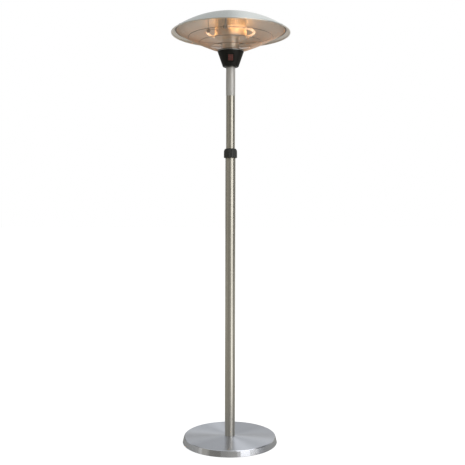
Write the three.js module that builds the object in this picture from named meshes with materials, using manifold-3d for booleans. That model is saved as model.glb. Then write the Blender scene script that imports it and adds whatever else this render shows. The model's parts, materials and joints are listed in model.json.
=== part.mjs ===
// An infrared patio heater tower: a weighted round base, a two-part telescopic pole with a
// clamp collar, and a wide spherical reflector with a ring lamp behind a wire grille.
// Millimetres, +Z up, the front faces -Y. The origin is on the floor, under the pole's centre.

import * as THREE from "three";
import { mergeVertices } from "three/addons/utils/BufferGeometryUtils.js";
import Module from "manifold-3d";

const wasm = await Module();
wasm.setup();

// ---------------------------------------------------------------- driving dimensions

// Clearances
const SEAT_GAP = 0.3; // between pieces that rest on, or are fastened to, each other
const RUN_GAP = 0.3; // radial, between pieces that slide or turn in each other

// Base
const FOOT_HEIGHT = 8;
const FOOT_RADIUS = 12;
const FOOT_INSET = 38; // from the bottom plate's edge
const FOOT_COUNT = 4;
const PLATE_THICKNESS = 1.5;
const PLATE_INSET = 3; // from the cover's shoulder
const BALLAST_THICKNESS = 21.8;
const CENTRE_HOLE_RADIUS = 19.5;
const COVER_SHEET = 0.8;
const COVER_SHOULDER_RADIUS = 231;
const COVER_FLARE = 6; // of the rim, beyond the shoulder
const COVER_EDGE_ROUND = 6;
const COVER_RIM_HEIGHT = 2;
const WASHER_RADIUS = 34;
const WASHER_THICKNESS = 3;
const BOLT_RADIUS = 4;
const BOLT_HEAD_RADIUS = 7.5;
const BOLT_HEAD_HEIGHT = 5.3;
const BOLT_CIRCLE_RADIUS = 12;
const BOLT_GRIP = 14;
const BOLT_COUNT = 3;
const FOOT_DISC_THICKNESS = 18;

// Pole
const LOWER_TUBE_RADIUS = 25.4;
const UPPER_TUBE_RADIUS = 22.25;
const TUBE_WALL = 1.2;
const LOWER_TUBE_LENGTH = 1418.7;
const UPPER_TUBE_DRAWN_OUT = 404;
const UPPER_TUBE_OVERLAP = 185;
const GLAND_HEIGHT = 45;
const GLAND_RADIUS = 7;
const GLAND_BORE_RADIUS = 4.2;
const GLAND_LIP = 2.5;
const GLAND_LIP_THICKNESS = 3;

// Clamp collar
const SOCKET_OVERLAP = 20;
const SOCKET_WALL = 3;
const SOCKET_SHOULDER = 1.7;
const SEAT_HEIGHT = 8;
const SEAT_FLARE = 3.5;
const COLLET_THIN_WALL = 1.15;
const COLLET_HEAD = 5;
const COLLET_SLIT = 2;
const NUT_RADIUS = 33;
const NUT_WALL_TOP = 6.7;
const NUT_DROP = 4;
const NUT_CROWN_HEIGHT = 19;
const NUT_CROWN_RADIUS = 24;
const NUT_LOBES = 10;
const NUT_LOBE_DEPTH = 1.4;
const NUT_BOTTOM_ROUND = 1.5;
const BUSH_LENGTH = 55;
const BUSH_LIP = 3;
const BUSH_LIP_THICKNESS = 14;

// Label on the upper tube
const LABEL_LENGTH = 139;
const LABEL_DROP = 4;
const LABEL_THICKNESS = 0.35;

// Housing
const HOUSING_HEIGHT = 75;
const HOUSING_BOTTOM_RADIUS = 39.5;
const HOUSING_TOP_RADIUS = 65;
const HOUSING_CORNER = 6;
const HOUSING_WALL = 2.5;
const NECK_INSERT = 50;
const NECK_SLEEVE_LENGTH = 42;
const NECK_SLEEVE_WALL = 3.45;
const NECK_FLANGE_RADIUS = 32;
const NECK_FLANGE_THICKNESS = 3;
const NECK_SCREW_RADIUS = 2.5;
const NECK_SCREW_HEIGHT = 28;
const LID_THICKNESS = 2;
const LID_HOLE_RADIUS = 30;
const LID_SCREW_RADIUS = 2;
const LID_SCREW_CIRCLE = 53.5;
const LID_SCREW_LENGTH = 13;
const LID_BOSS_RADIUS = 5;
const LID_BOSS_DEPTH = 15;
const LID_SCREW_AZIMUTHS = [90, 210, 330];
const BLOCK_WIDTH = 34;
const BLOCK_DEPTH = 15;
const BLOCK_HEIGHT = 14;
const BLOCK_SETBACK = 1.5;
const TILT_SWITCH_RADIUS = 7;
const TILT_SWITCH_LENGTH = 22;
const TILT_SWITCH_CIRCLE = 41;
const TILT_SWITCH_AZIMUTH = 160;

// Double rocker switch on the front of the housing, in the plane of its pad
const SWITCH_HEIGHT = 37;
const PAD_WIDTH = 38;
const PAD_LENGTH = 46;
const PAD_PROUD = 1.5;
const BEZEL_WIDTH = 34;
const BEZEL_LENGTH = 42;
const BEZEL_THICKNESS = 3;
const WINDOW_WIDTH = 25.4;
const WINDOW_LENGTH = 31.4;
const SWITCH_TRAY_WALL = 1.4;
const SWITCH_BODY_DEPTH = 18;
const ROCKER_WELL = 5.2;
const ROCKER_TILT = 8;
const ROCKER_PIVOT_DEPTH = 2;
const ROCKER_HALF_LENGTH = 14.6;
const ROCKER_END_HEIGHT = 4.2;
const ROCKER_MIDDLE_HEIGHT = 2;
const ROCKER_BELLY = 4;

// Head
const HEAD_HEIGHT = 183.7; // from the lid's top to the reflector's apex
const COLUMN_RADIUS = 42;
const COLUMN_FLANGE_RADIUS = 59.5;
const COLUMN_FLANGE_THICKNESS = 1;
const SHEET = 0.8; // column and lamp drum
const DRUM_RADIUS = 79;
const DRUM_FLOOR_HEIGHT = 64.7; // above the lid's top
const DRUM_COLLAR_DROP = 10;
const DOME_SPHERE_RADIUS = 508;
const DOME_SHEET = 1.2;
const DOME_BEAD_RADIUS = 3;
const DOME_BEAD_CIRCLE = 292;
const BRACKET_SKIRT = 22;
const BRACKET_WALL = 2.5;
const TOP_SCREW_RADIUS = 2;
const TOP_SCREW_HEAD_RADIUS = 4.2;
const TOP_SCREW_HEAD_HEIGHT = 1.6;
const TOP_SCREW_LENGTH = 10;
const TOP_SCREW_CIRCLE = 32;
const TOP_SCREW_COUNT = 3;

// Grille
const GRILLE_HOOP_INSET = 20; // from the circle of the reflector's bead
const GRILLE_INNER_RADIUS = 62.5;
const GRILLE_STIFF_RINGS = [105, 157, 210];
const GRILLE_SAG = 6;
const GRILLE_SPOKES = 26;
const GRILLE_EDGE_WIRE = 2.3;
const GRILLE_WIRE = 1.3;
const HOOP_SEAT_GAP = 1;
const HOOP_CLIP_COUNT = 3;
const HOOP_CLIP_WIDTH = 12;
const HOOP_CLIP_SHEET = 1.5;
const HOOP_CLIP_FOOT = 11;
const HOOP_CLIP_TONGUE = 9;
const RIVET_RADIUS = 2;
const RIVET_HEAD_RADIUS = 3.6;
const RIVET_HEAD_HEIGHT = 1.4;

// Ring lamp
const LAMP_CIRCLE_RADIUS = 116;
const LAMP_HEIGHT = 92.7; // centreline above the lid's top
const LAMP_TUBE_RADIUS = 6;
const LAMP_TUBE_WALL = 1.2;
const FILAMENT_RADIUS = 1.6;
const LAMP_GAP_AZIMUTH = 228;
const LAMP_GAP_ANGLE = 66;
const CAP_RADIUS = 8;
const CAP_LENGTH = 22;
const CAP_INSERT = 4;
const CAP_BORE_GAP = 0.8;
const POST_RING_WALL = 1.6;
const POST_WIDTH = 8;
const POST_THICKNESS = 1.5;
const CLIP_WIDTH = 6;
const CLIP_SHEET = 1.2;
const CLIP_OPENING = 7;
const LAMP_CLIP_AZIMUTHS = [-20, 70, 150];
const LEAD_RADIUS = 1.4;
const LEAD_HOLE_RADIUS = 4;
const LEAD_SPREAD = 12; // degrees each side of the lamp's gap
const LEAD_SPACING = 6; // each side of the middle, inside the column

// Facets
const BIG_ROUND = 36;
const TUBE_ROUND = 24;
const SMALL_ROUND = 8;
const DOME_STEPS = 7;
const LAMP_STEPS = 30;
const LEAD_STEPS = 30;

// ---------------------------------------------------------------- radii and heights, from the floor up

const rimRadius = COVER_SHOULDER_RADIUS + COVER_FLARE;
const plateRadius = COVER_SHOULDER_RADIUS - PLATE_INSET;
const footCircle = plateRadius - FOOT_INSET;
const plateBottom = FOOT_HEIGHT + SEAT_GAP;
const plateTop = plateBottom + PLATE_THICKNESS;
const ballastBottom = plateTop + SEAT_GAP;
const ballastTop = ballastBottom + BALLAST_THICKNESS;
const coverTop = ballastTop + SEAT_GAP + COVER_SHEET;
const lowerTubeBottom = coverTop + SEAT_GAP;
const lowerTubeTop = lowerTubeBottom + LOWER_TUBE_LENGTH;
const socketBottom = lowerTubeTop - SOCKET_OVERLAP;
const seatBottom = lowerTubeTop + SEAT_GAP + SOCKET_SHOULDER;
const seatTop = seatBottom + SEAT_HEIGHT;
const colletTop = seatTop + COLLET_HEAD;
const nutBottom = socketBottom - NUT_DROP;
const nutTop = colletTop + SEAT_GAP + NUT_WALL_TOP;
const upperTubeBottom = nutTop - UPPER_TUBE_OVERLAP;
const housingBottom = nutTop + UPPER_TUBE_DRAWN_OUT;
const upperTubeTop = housingBottom + NECK_INSERT;
const housingTop = housingBottom + HOUSING_HEIGHT;
const lidBottom = housingTop + SEAT_GAP;
const lidTop = lidBottom + LID_THICKNESS;
const columnFoot = lidTop + SEAT_GAP;
const drumFloor = lidTop + DRUM_FLOOR_HEIGHT;
const lampZ = lidTop + LAMP_HEIGHT;
const domeApex = lidTop + HEAD_HEIGHT;
const domeCentreZ = domeApex - DOME_SPHERE_RADIUS;

const lowerTubeBore = LOWER_TUBE_RADIUS - TUBE_WALL;
const upperTubeBore = UPPER_TUBE_RADIUS - TUBE_WALL;
const upperTubeSleeve = UPPER_TUBE_RADIUS + RUN_GAP;
const socketBore = LOWER_TUBE_RADIUS + SEAT_GAP;
const socketRadius = socketBore + SOCKET_WALL;
const seatBottomRadius = upperTubeSleeve + COLLET_THIN_WALL + SEAT_GAP;
const seatTopRadius = seatBottomRadius + SEAT_FLARE;

// ---------------------------------------------------------------- helpers

const radians = THREE.MathUtils.degToRad;

function onCircle(radius, degrees, z) {
  const angle = radians(degrees);
  return new THREE.Vector3(radius * Math.cos(angle), radius * Math.sin(angle), z);
}

// A copy of a geometry with only its corners, shared between its faces.
function welded(geometry) {
  const bare = geometry.clone();
  bare.deleteAttribute("normal");
  bare.deleteAttribute("uv");
  return mergeVertices(bare, 1e-4);
}

// The volume that the faces enclose, negative where they point inwards.
function signedVolume(geometry) {
  const at = geometry.attributes.position;
  const index = geometry.index.array;
  const [a, b, c] = [new THREE.Vector3(), new THREE.Vector3(), new THREE.Vector3()];
  let volume = 0;
  for (let i = 0; i < index.length; i += 3) {
    a.fromBufferAttribute(at, index[i]);
    b.fromBufferAttribute(at, index[i + 1]);
    c.fromBufferAttribute(at, index[i + 2]);
    volume += a.dot(b.cross(c)) / 6;
  }
  return volume;
}

// The welded geometry with its faces pointing out.
function closed(geometry) {
  const whole = welded(geometry);
  if (signedVolume(whole) < 0) {
    const index = whole.index.array;
    for (let i = 0; i < index.length; i += 3) {
      [index[i + 1], index[i + 2]] = [index[i + 2], index[i + 1]];
    }
  }
  return whole;
}

function toSolid(geometry) {
  const whole = closed(geometry);
  return new wasm.Manifold(new wasm.Mesh({
    numProp: 3,
    vertProperties: new Float32Array(whole.attributes.position.array),
    triVerts: new Uint32Array(whole.index.array),
  }));
}

function toGeometry(solid) {
  const made = solid.getMesh();
  return new THREE.BufferGeometry()
    .setAttribute("position", new THREE.BufferAttribute(made.vertProperties, 3))
    .setIndex(new THREE.BufferAttribute(made.triVerts, 1));
}

// First geometry less all the others.
function cut(geometry, ...tools) {
  const rest = tools.reduce((solid, tool) => solid.subtract(toSolid(tool)), toSolid(geometry));
  return toGeometry(rest);
}

function join(geometry, ...others) {
  const whole = others.reduce((solid, other) => solid.add(toSolid(other)), toSolid(geometry));
  return toGeometry(whole);
}

// A profile of [radius, height] points turned about Z. It starts and ends on the axis.
function turned(profile, segments) {
  const points = profile.map(([r, z]) => new THREE.Vector2(r, z));
  return new THREE.LatheGeometry(points, segments).rotateX(Math.PI / 2);
}

// The same for a profile that closes on itself, clear of the axis.
function turnedRing(profile, segments) {
  return turned([...profile, profile[0]], segments);
}

function ring(inner, outer, z0, z1, segments) {
  return turnedRing([[inner, z0], [outer, z0], [outer, z1], [inner, z1]], segments);
}

function disc(radius, z0, z1, segments) {
  return turned([[0, z0], [radius, z0], [radius, z1], [0, z1]], segments);
}

// Points on an arc in a profile, angles in degrees from the radial direction.
function arc(r, z, radius, from, to, steps) {
  return Array.from({ length: steps + 1 }, (_, k) => {
    const angle = radians(from + ((to - from) * k) / steps);
    return [r + radius * Math.cos(angle), z + radius * Math.sin(angle)];
  });
}

// Turns a geometry made along +Z so that it runs from one point towards another.
function aimed(geometry, from, to) {
  const direction = to.clone().sub(from).normalize();
  const turn = new THREE.Quaternion().setFromUnitVectors(new THREE.Vector3(0, 0, 1), direction);
  return geometry.applyQuaternion(turn).translate(from.x, from.y, from.z);
}

function rod(radius, from, to, segments = SMALL_ROUND) {
  return aimed(disc(radius, 0, from.distanceTo(to), segments), from, to);
}

function box(x0, x1, y0, y1, z0, z1) {
  return new THREE.BoxGeometry(x1 - x0, y1 - y0, z1 - z0)
    .translate((x0 + x1) / 2, (y0 + y1) / 2, (z0 + z1) / 2);
}

const FINISHES = {
  brushedSteel: { color: 0xa5a39c, roughness: 0.3, metalness: 1 },
  zincSteel: { color: 0x9a9b9d, roughness: 0.45, metalness: 1 },
  silverSheet: { color: 0xc4c8c4, roughness: 0.28, metalness: 1 },
  polishedSheet: { color: 0xd8d6d0, roughness: 0.1, metalness: 1 },
  grilleWire: { color: 0x8f7f72, roughness: 0.4, metalness: 1 },
  blackPlastic: { color: 0x191b1a, roughness: 0.5, metalness: 0 },
  redPlastic: { color: 0x5e1a18, roughness: 0.35, metalness: 0 },
  greyPlastic: { color: 0x5c5e5e, roughness: 0.6, metalness: 0 },
  concrete: { color: 0x8c8a84, roughness: 0.95, metalness: 0 },
  rubber: { color: 0x1c1c1c, roughness: 0.85, metalness: 0 },
  labelFilm: { color: 0xd2d2cc, roughness: 0.4, metalness: 0.3 },
  quartz: { color: 0xffe2c0, roughness: 0.05, metalness: 0, transparent: true, opacity: 0.4 },
  glowingWire: { color: 0xff9a4a, roughness: 0.5, metalness: 0, emissive: 0xff7a2a },
  ceramic: { color: 0xd9d4c8, roughness: 0.7, metalness: 0 },
  leadSleeve: { color: 0xb9a98c, roughness: 0.8, metalness: 0 },
};

const heater = new THREE.Group();

function add(name, finish, geometry, parent = heater) {
  const piece = new THREE.Mesh(closed(geometry), new THREE.MeshStandardMaterial(FINISHES[finish]));
  piece.name = name;
  parent.add(piece);
}

// A round-headed screw or rivet along +Z: its shank ends at 0 and its head stands above.
function screw(radius, length, headRadius, headHeight) {
  return turned([
    [0, -length],
    [radius, -length],
    [radius, 0],
    [headRadius, 0],
    [headRadius, headHeight * 0.5],
    [headRadius * 0.6, headHeight],
    [0, headHeight],
  ], SMALL_ROUND);
}

// ---------------------------------------------------------------- base

const boltAzimuths = Array.from({ length: BOLT_COUNT }, (_, k) => 90 + (360 * k) / BOLT_COUNT);

function boltHoles(z0, z1) {
  return boltAzimuths.map((azimuth) => rod(
    BOLT_RADIUS + SEAT_GAP,
    onCircle(BOLT_CIRCLE_RADIUS, azimuth, z0 - 1),
    onCircle(BOLT_CIRCLE_RADIUS, azimuth, z1 + 1),
  ));
}

function makeBase() {
  for (let k = 0; k < FOOT_COUNT; k += 1) {
    const centre = onCircle(footCircle, 45 + (360 * k) / FOOT_COUNT, 0);
    const foot = turned([
      [0, 0],
      [FOOT_RADIUS - 1, 0],
      [FOOT_RADIUS, 1],
      [FOOT_RADIUS, FOOT_HEIGHT],
      [0, FOOT_HEIGHT],
    ], 16).translate(centre.x, centre.y, 0);
    add(`rubber_foot_${k + 1}`, "rubber", foot);
  }

  const plateHole = WASHER_RADIUS + SEAT_GAP;
  add("bottom_plate", "zincSteel", ring(plateHole, plateRadius, plateBottom, plateTop, BIG_ROUND));

  const ballastRadius = COVER_SHOULDER_RADIUS - COVER_EDGE_ROUND;
  add("ballast_disc", "concrete",
    ring(CENTRE_HOLE_RADIUS, ballastRadius, ballastBottom, ballastTop, BIG_ROUND));

  const edgeR = COVER_SHOULDER_RADIUS - COVER_EDGE_ROUND;
  const edgeZ = coverTop - COVER_EDGE_ROUND;
  add("base_cover", "brushedSteel", turnedRing([
    [CENTRE_HOLE_RADIUS, coverTop - COVER_SHEET],
    ...arc(edgeR, edgeZ, COVER_EDGE_ROUND - COVER_SHEET, 90, 0, 4),
    [rimRadius - COVER_SHEET, COVER_RIM_HEIGHT],
    [rimRadius, COVER_RIM_HEIGHT],
    ...arc(edgeR, edgeZ, COVER_EDGE_ROUND, 0, 90, 4),
    [CENTRE_HOLE_RADIUS, coverTop],
  ], BIG_ROUND));

  const washerBottom = plateTop - WASHER_THICKNESS;
  add("clamp_washer", "zincSteel",
    cut(disc(WASHER_RADIUS, washerBottom, plateTop, TUBE_ROUND), ...boltHoles(washerBottom, plateTop)));

  const discTop = lowerTubeBottom + FOOT_DISC_THICKNESS;
  add("foot_disc", "zincSteel", cut(
    disc(lowerTubeBore - SEAT_GAP, lowerTubeBottom, discTop, TUBE_ROUND),
    ...boltHoles(lowerTubeBottom, discTop),
  ));

  const headTop = washerBottom - SEAT_GAP;
  boltAzimuths.forEach((azimuth, k) => {
    const at = (z) => onCircle(BOLT_CIRCLE_RADIUS, azimuth, z);
    const shank = rod(BOLT_RADIUS, at(headTop - 1), at(lowerTubeBottom + BOLT_GRIP));
    const head = rod(BOLT_HEAD_RADIUS, at(headTop - BOLT_HEAD_HEIGHT), at(headTop), 6);
    add(`foot_bolt_${k + 1}`, "zincSteel", join(head, shank));
  });
}

// ---------------------------------------------------------------- pole and clamp

function makePole() {
  const glandZ = coverTop + GLAND_HEIGHT;
  const rear = (y) => new THREE.Vector3(0, y, glandZ);
  const glandHole = rod(GLAND_RADIUS, rear(lowerTubeBore / 2), rear(LOWER_TUBE_RADIUS * 1.5), 16);
  add("lower_tube", "brushedSteel", cut(
    ring(lowerTubeBore, LOWER_TUBE_RADIUS, lowerTubeBottom, lowerTubeTop, TUBE_ROUND),
    glandHole,
  ));

  const neckRadius = GLAND_RADIUS - SEAT_GAP;
  const lipRadius = GLAND_RADIUS + GLAND_LIP;
  const lipStart = LOWER_TUBE_RADIUS + SEAT_GAP;
  const gland = turnedRing([
    [GLAND_BORE_RADIUS, lowerTubeBore - GLAND_LIP],
    [neckRadius, lowerTubeBore - GLAND_LIP],
    [neckRadius, lipStart],
    [lipRadius, lipStart],
    [lipRadius - 1, lipStart + GLAND_LIP_THICKNESS],
    [GLAND_BORE_RADIUS, lipStart + GLAND_LIP_THICKNESS],
  ], 16);
  add("cable_gland", "rubber", gland.rotateX(-Math.PI / 2).translate(0, 0, glandZ));

  add("tube_socket", "blackPlastic", turnedRing([
    [socketBore, socketBottom],
    [socketRadius, socketBottom],
    [socketRadius, seatTop],
    [seatTopRadius, seatTop],
    [seatBottomRadius, seatBottom],
    [seatBottomRadius, lowerTubeTop + SEAT_GAP],
    [socketBore, lowerTubeTop + SEAT_GAP],
  ], TUBE_ROUND));

  const slit = box(0, NUT_RADIUS, -COLLET_SLIT / 2, COLLET_SLIT / 2, seatBottom - 1, colletTop + 1);
  add("collet", "greyPlastic", cut(turnedRing([
    [upperTubeSleeve, seatBottom],
    [seatBottomRadius - SEAT_GAP, seatBottom],
    [seatTopRadius - SEAT_GAP, seatTop],
    [seatTopRadius - SEAT_GAP, colletTop],
    [upperTubeSleeve, colletTop],
  ], TUBE_ROUND), slit));

  add("clamp_nut", "blackPlastic", lobedNut());

  const boreFloor = upperTubeBottom - SEAT_GAP;
  add("guide_bush", "greyPlastic", turnedRing([
    [upperTubeBore - BUSH_LIP, boreFloor - BUSH_LIP_THICKNESS],
    [lowerTubeBore - RUN_GAP, boreFloor - BUSH_LIP_THICKNESS],
    [lowerTubeBore - RUN_GAP, boreFloor - BUSH_LIP_THICKNESS + BUSH_LENGTH],
    [upperTubeSleeve, boreFloor - BUSH_LIP_THICKNESS + BUSH_LENGTH],
    [upperTubeSleeve, boreFloor],
    [upperTubeBore - BUSH_LIP, boreFloor],
  ], TUBE_ROUND));

  add("upper_tube", "brushedSteel", cut(
    ring(upperTubeBore, UPPER_TUBE_RADIUS, upperTubeBottom, upperTubeTop, TUBE_ROUND),
    ...neckScrewHoles(),
  ));

  const labelTop = housingBottom - LABEL_DROP;
  const labelInner = UPPER_TUBE_RADIUS + SEAT_GAP;
  add("label_film", "labelFilm",
    ring(labelInner, labelInner + LABEL_THICKNESS, labelTop - LABEL_LENGTH, labelTop, TUBE_ROUND));
}

// The clamp nut's outer wall is drawn in between its grip lobes.
function lobedNut() {
  const bore = socketRadius + RUN_GAP * 2;
  const boreTop = colletTop + SEAT_GAP;
  const crownStart = nutTop - NUT_CROWN_HEIGHT;
  const crownRun = NUT_RADIUS - NUT_CROWN_RADIUS;
  const crown = Array.from({ length: 5 }, (_, k) => {
    const angle = radians(22.5 * k);
    return [
      NUT_CROWN_RADIUS + crownRun * Math.cos(angle),
      crownStart + NUT_CROWN_HEIGHT * Math.sin(angle),
    ];
  });
  const nut = turnedRing([
    [bore, nutBottom],
    [NUT_RADIUS - NUT_BOTTOM_ROUND, nutBottom],
    [NUT_RADIUS, nutBottom + NUT_BOTTOM_ROUND],
    ...crown,
    [upperTubeSleeve + RUN_GAP, nutTop],
    [upperTubeSleeve + RUN_GAP, boreTop],
    [bore, boreTop],
  ], NUT_LOBES * 4);
  const at = nut.attributes.position;
  const lobeFloor = bore + NUT_LOBE_DEPTH * 0.5;
  for (let i = 0; i < at.count; i += 1) {
    const radius = Math.hypot(at.getX(i), at.getY(i));
    if (radius > lobeFloor) {
      const wave = 0.5 - 0.5 * Math.cos(NUT_LOBES * Math.atan2(at.getY(i), at.getX(i)));
      const scale = 1 - (NUT_LOBE_DEPTH * wave) / radius;
      at.setX(i, at.getX(i) * scale);
      at.setY(i, at.getY(i) * scale);
    }
  }
  return nut;
}

// ---------------------------------------------------------------- housing and its contents

const neckScrewZ = housingBottom + NECK_SCREW_HEIGHT;
const neckSleeveRadius = upperTubeSleeve + NECK_SLEEVE_WALL;

function neckScrewHoles() {
  return [-1, 1].map((side) => rod(
    NECK_SCREW_RADIUS + SEAT_GAP,
    new THREE.Vector3(side * upperTubeBore * 0.6, 0, neckScrewZ),
    new THREE.Vector3(side * neckSleeveRadius * 1.2, 0, neckScrewZ),
  ));
}

// The pad's own axes: X to the right, Y up along the sloping front wall and Z out of it.
const wallSlope = Math.atan2(HOUSING_TOP_RADIUS - HOUSING_BOTTOM_RADIUS, HOUSING_HEIGHT);
const padZ = housingBottom + SWITCH_HEIGHT;
const wallRadiusAtPad = HOUSING_BOTTOM_RADIUS
  + ((HOUSING_TOP_RADIUS - HOUSING_BOTTOM_RADIUS) * SWITCH_HEIGHT) / HOUSING_HEIGHT;
const padOut = new THREE.Vector3(0, -Math.cos(wallSlope), -Math.sin(wallSlope));
const padUp = new THREE.Vector3(0, -Math.sin(wallSlope), Math.cos(wallSlope));
const padMatrix = new THREE.Matrix4()
  .makeBasis(new THREE.Vector3(1, 0, 0), padUp, padOut)
  .setPosition(new THREE.Vector3(0, -wallRadiusAtPad, padZ).addScaledVector(padOut, PAD_PROUD));

function lidScrewPlace(azimuth, z) {
  return onCircle(LID_SCREW_CIRCLE, azimuth, z);
}

function lidScrewHoles(z0, z1) {
  return LID_SCREW_AZIMUTHS.map((azimuth) => rod(
    LID_SCREW_RADIUS + SEAT_GAP,
    lidScrewPlace(azimuth, z0),
    lidScrewPlace(azimuth, z1),
  ));
}

function makeHousing() {
  const outerWall = turned([
    [0, housingBottom],
    [HOUSING_BOTTOM_RADIUS - HOUSING_CORNER, housingBottom],
    ...arc(HOUSING_BOTTOM_RADIUS - HOUSING_CORNER + 1, housingBottom + HOUSING_CORNER,
      HOUSING_CORNER, -75, -15, 3),
    [HOUSING_TOP_RADIUS, housingTop],
    [0, housingTop],
  ], BIG_ROUND);
  const floorRadius = HOUSING_BOTTOM_RADIUS - HOUSING_WALL;
  const cavity = turned([
    [0, housingBottom + HOUSING_WALL],
    [floorRadius - HOUSING_CORNER / 2, housingBottom + HOUSING_WALL],
    [floorRadius + 1, housingBottom + HOUSING_CORNER],
    [HOUSING_TOP_RADIUS - HOUSING_WALL, housingTop],
    [HOUSING_TOP_RADIUS - HOUSING_WALL, housingTop + 1],
    [0, housingTop + 1],
  ], BIG_ROUND);
  const pad = box(-PAD_WIDTH / 2, PAD_WIDTH / 2, -PAD_LENGTH / 2, PAD_LENGTH / 2, -9, 0)
    .applyMatrix4(padMatrix);
  const trayWidth = WINDOW_WIDTH / 2 + SWITCH_TRAY_WALL + SEAT_GAP;
  const trayLength = WINDOW_LENGTH / 2 + SWITCH_TRAY_WALL + SEAT_GAP;
  const window = box(-trayWidth, trayWidth, -trayLength, trayLength, -20, 5)
    .applyMatrix4(padMatrix);
  const tubeHole = disc(upperTubeSleeve, housingBottom - 1, housingTop, TUBE_ROUND);
  const bossBottom = housingTop - LID_BOSS_DEPTH;
  const holeBottom = housingTop - LID_SCREW_LENGTH - SEAT_GAP * 2;

  const outer = toSolid(outerWall);
  let shell = outer.add(toSolid(pad)).subtract(toSolid(cavity));
  for (const azimuth of LID_SCREW_AZIMUTHS) {
    const boss = rod(LID_BOSS_RADIUS, lidScrewPlace(azimuth, bossBottom),
      lidScrewPlace(azimuth, housingTop));
    shell = shell.add(toSolid(boss).intersect(outer));
  }
  for (const tool of [window, tubeHole, ...lidScrewHoles(holeBottom, housingTop + 1)]) {
    shell = shell.subtract(toSolid(tool));
  }
  add("housing", "blackPlastic", toGeometry(shell));

  const flangeBottom = housingBottom + HOUSING_WALL + SEAT_GAP;
  const flangeTop = flangeBottom + NECK_FLANGE_THICKNESS;
  add("neck_socket", "zincSteel", cut(turnedRing([
    [upperTubeSleeve, flangeBottom],
    [NECK_FLANGE_RADIUS, flangeBottom],
    [NECK_FLANGE_RADIUS, flangeTop],
    [neckSleeveRadius, flangeTop],
    [neckSleeveRadius, flangeBottom + NECK_SLEEVE_LENGTH],
    [upperTubeSleeve, flangeBottom + NECK_SLEEVE_LENGTH],
  ], TUBE_ROUND), ...neckScrewHoles()));
  [-1, 1].forEach((side, k) => {
    const head = new THREE.Vector3(side * (neckSleeveRadius + SEAT_GAP), 0, neckScrewZ);
    const outwards = new THREE.Vector3(side * NUT_RADIUS * 2, 0, neckScrewZ);
    const shank = neckSleeveRadius - upperTubeBore + 2;
    add(`neck_screw_${k + 1}`, "zincSteel", aimed(
      screw(NECK_SCREW_RADIUS, shank, NECK_SCREW_RADIUS * 1.8, NECK_SCREW_RADIUS),
      head,
      outwards,
    ));
  });

  add("lid", "silverSheet", cut(
    ring(LID_HOLE_RADIUS, HOUSING_TOP_RADIUS, lidBottom, lidTop, BIG_ROUND),
    ...lidScrewHoles(lidBottom - 1, lidTop + 1),
  ));
  const headSeat = columnFoot + COLUMN_FLANGE_THICKNESS + SEAT_GAP;
  LID_SCREW_AZIMUTHS.forEach((azimuth, k) => {
    const at = lidScrewPlace(azimuth, headSeat);
    const shank = headSeat - housingTop + LID_SCREW_LENGTH;
    add(`lid_screw_${k + 1}`, "zincSteel",
      screw(LID_SCREW_RADIUS, shank, LID_SCREW_RADIUS * 2, LID_SCREW_RADIUS)
        .translate(at.x, at.y, at.z));
  });

  const blockTop = lidBottom - SEAT_GAP;
  const blockFront = LID_HOLE_RADIUS + BLOCK_SETBACK;
  add("terminal_block", "ceramic", box(-BLOCK_WIDTH / 2, BLOCK_WIDTH / 2,
    blockFront, blockFront + BLOCK_DEPTH, blockTop - BLOCK_HEIGHT, blockTop));
  const tilt = onCircle(TILT_SWITCH_CIRCLE, TILT_SWITCH_AZIMUTH, blockTop);
  add("tilt_switch", "greyPlastic", disc(TILT_SWITCH_RADIUS, -TILT_SWITCH_LENGTH, 0, 16)
    .translate(tilt.x, tilt.y, tilt.z));
}

// ---------------------------------------------------------------- rocker switch

function makeSwitch() {
  const pad = new THREE.Group();
  pad.applyMatrix4(padMatrix);
  heater.add(pad);

  const windowX = WINDOW_WIDTH / 2;
  const windowY = WINDOW_LENGTH / 2;
  const bezelPlate = box(-BEZEL_WIDTH / 2, BEZEL_WIDTH / 2, -BEZEL_LENGTH / 2, BEZEL_LENGTH / 2,
    SEAT_GAP, SEAT_GAP + BEZEL_THICKNESS);
  const through = box(-windowX, windowX, -windowY, windowY, -1, BEZEL_THICKNESS + 2);
  add("switch_bezel", "blackPlastic", cut(bezelPlate, through), pad);

  const trayX = windowX + SWITCH_TRAY_WALL;
  const trayY = windowY + SWITCH_TRAY_WALL;
  const tray = box(-trayX, trayX, -trayY, trayY, -SWITCH_BODY_DEPTH, 0);
  const well = box(-windowX, windowX, -windowY, windowY, -ROCKER_WELL, 1);
  add("switch_body", "blackPlastic", cut(tray, well), pad);

  const profile = new THREE.Shape([
    new THREE.Vector2(-ROCKER_HALF_LENGTH, ROCKER_END_HEIGHT),
    new THREE.Vector2(0, ROCKER_MIDDLE_HEIGHT),
    new THREE.Vector2(ROCKER_HALF_LENGTH, ROCKER_END_HEIGHT),
    new THREE.Vector2(ROCKER_HALF_LENGTH, -1),
    new THREE.Vector2(ROCKER_HALF_LENGTH * 0.4, -ROCKER_BELLY),
    new THREE.Vector2(-ROCKER_HALF_LENGTH * 0.4, -ROCKER_BELLY),
    new THREE.Vector2(-ROCKER_HALF_LENGTH, -1),
  ]);
  const width = windowX - SEAT_GAP * 2;
  const lengthwise = new THREE.Matrix4().makeBasis(
    new THREE.Vector3(0, 1, 0),
    new THREE.Vector3(0, 0, 1),
    new THREE.Vector3(1, 0, 0),
  );
  for (const [name, side] of [["rocker_left", -1], ["rocker_right", 1]]) {
    const rocker = new THREE.ExtrudeGeometry(profile, { depth: width, bevelEnabled: false })
      .applyMatrix4(lengthwise)
      .translate((side * windowX) / 2 - width / 2, 0, ROCKER_PIVOT_DEPTH)
      .rotateX(-radians(ROCKER_TILT))
      .translate(0, 0, -ROCKER_PIVOT_DEPTH);
    add(name, "redPlastic", rocker, pad);
  }
}

// ---------------------------------------------------------------- reflector, column and drum

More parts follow.
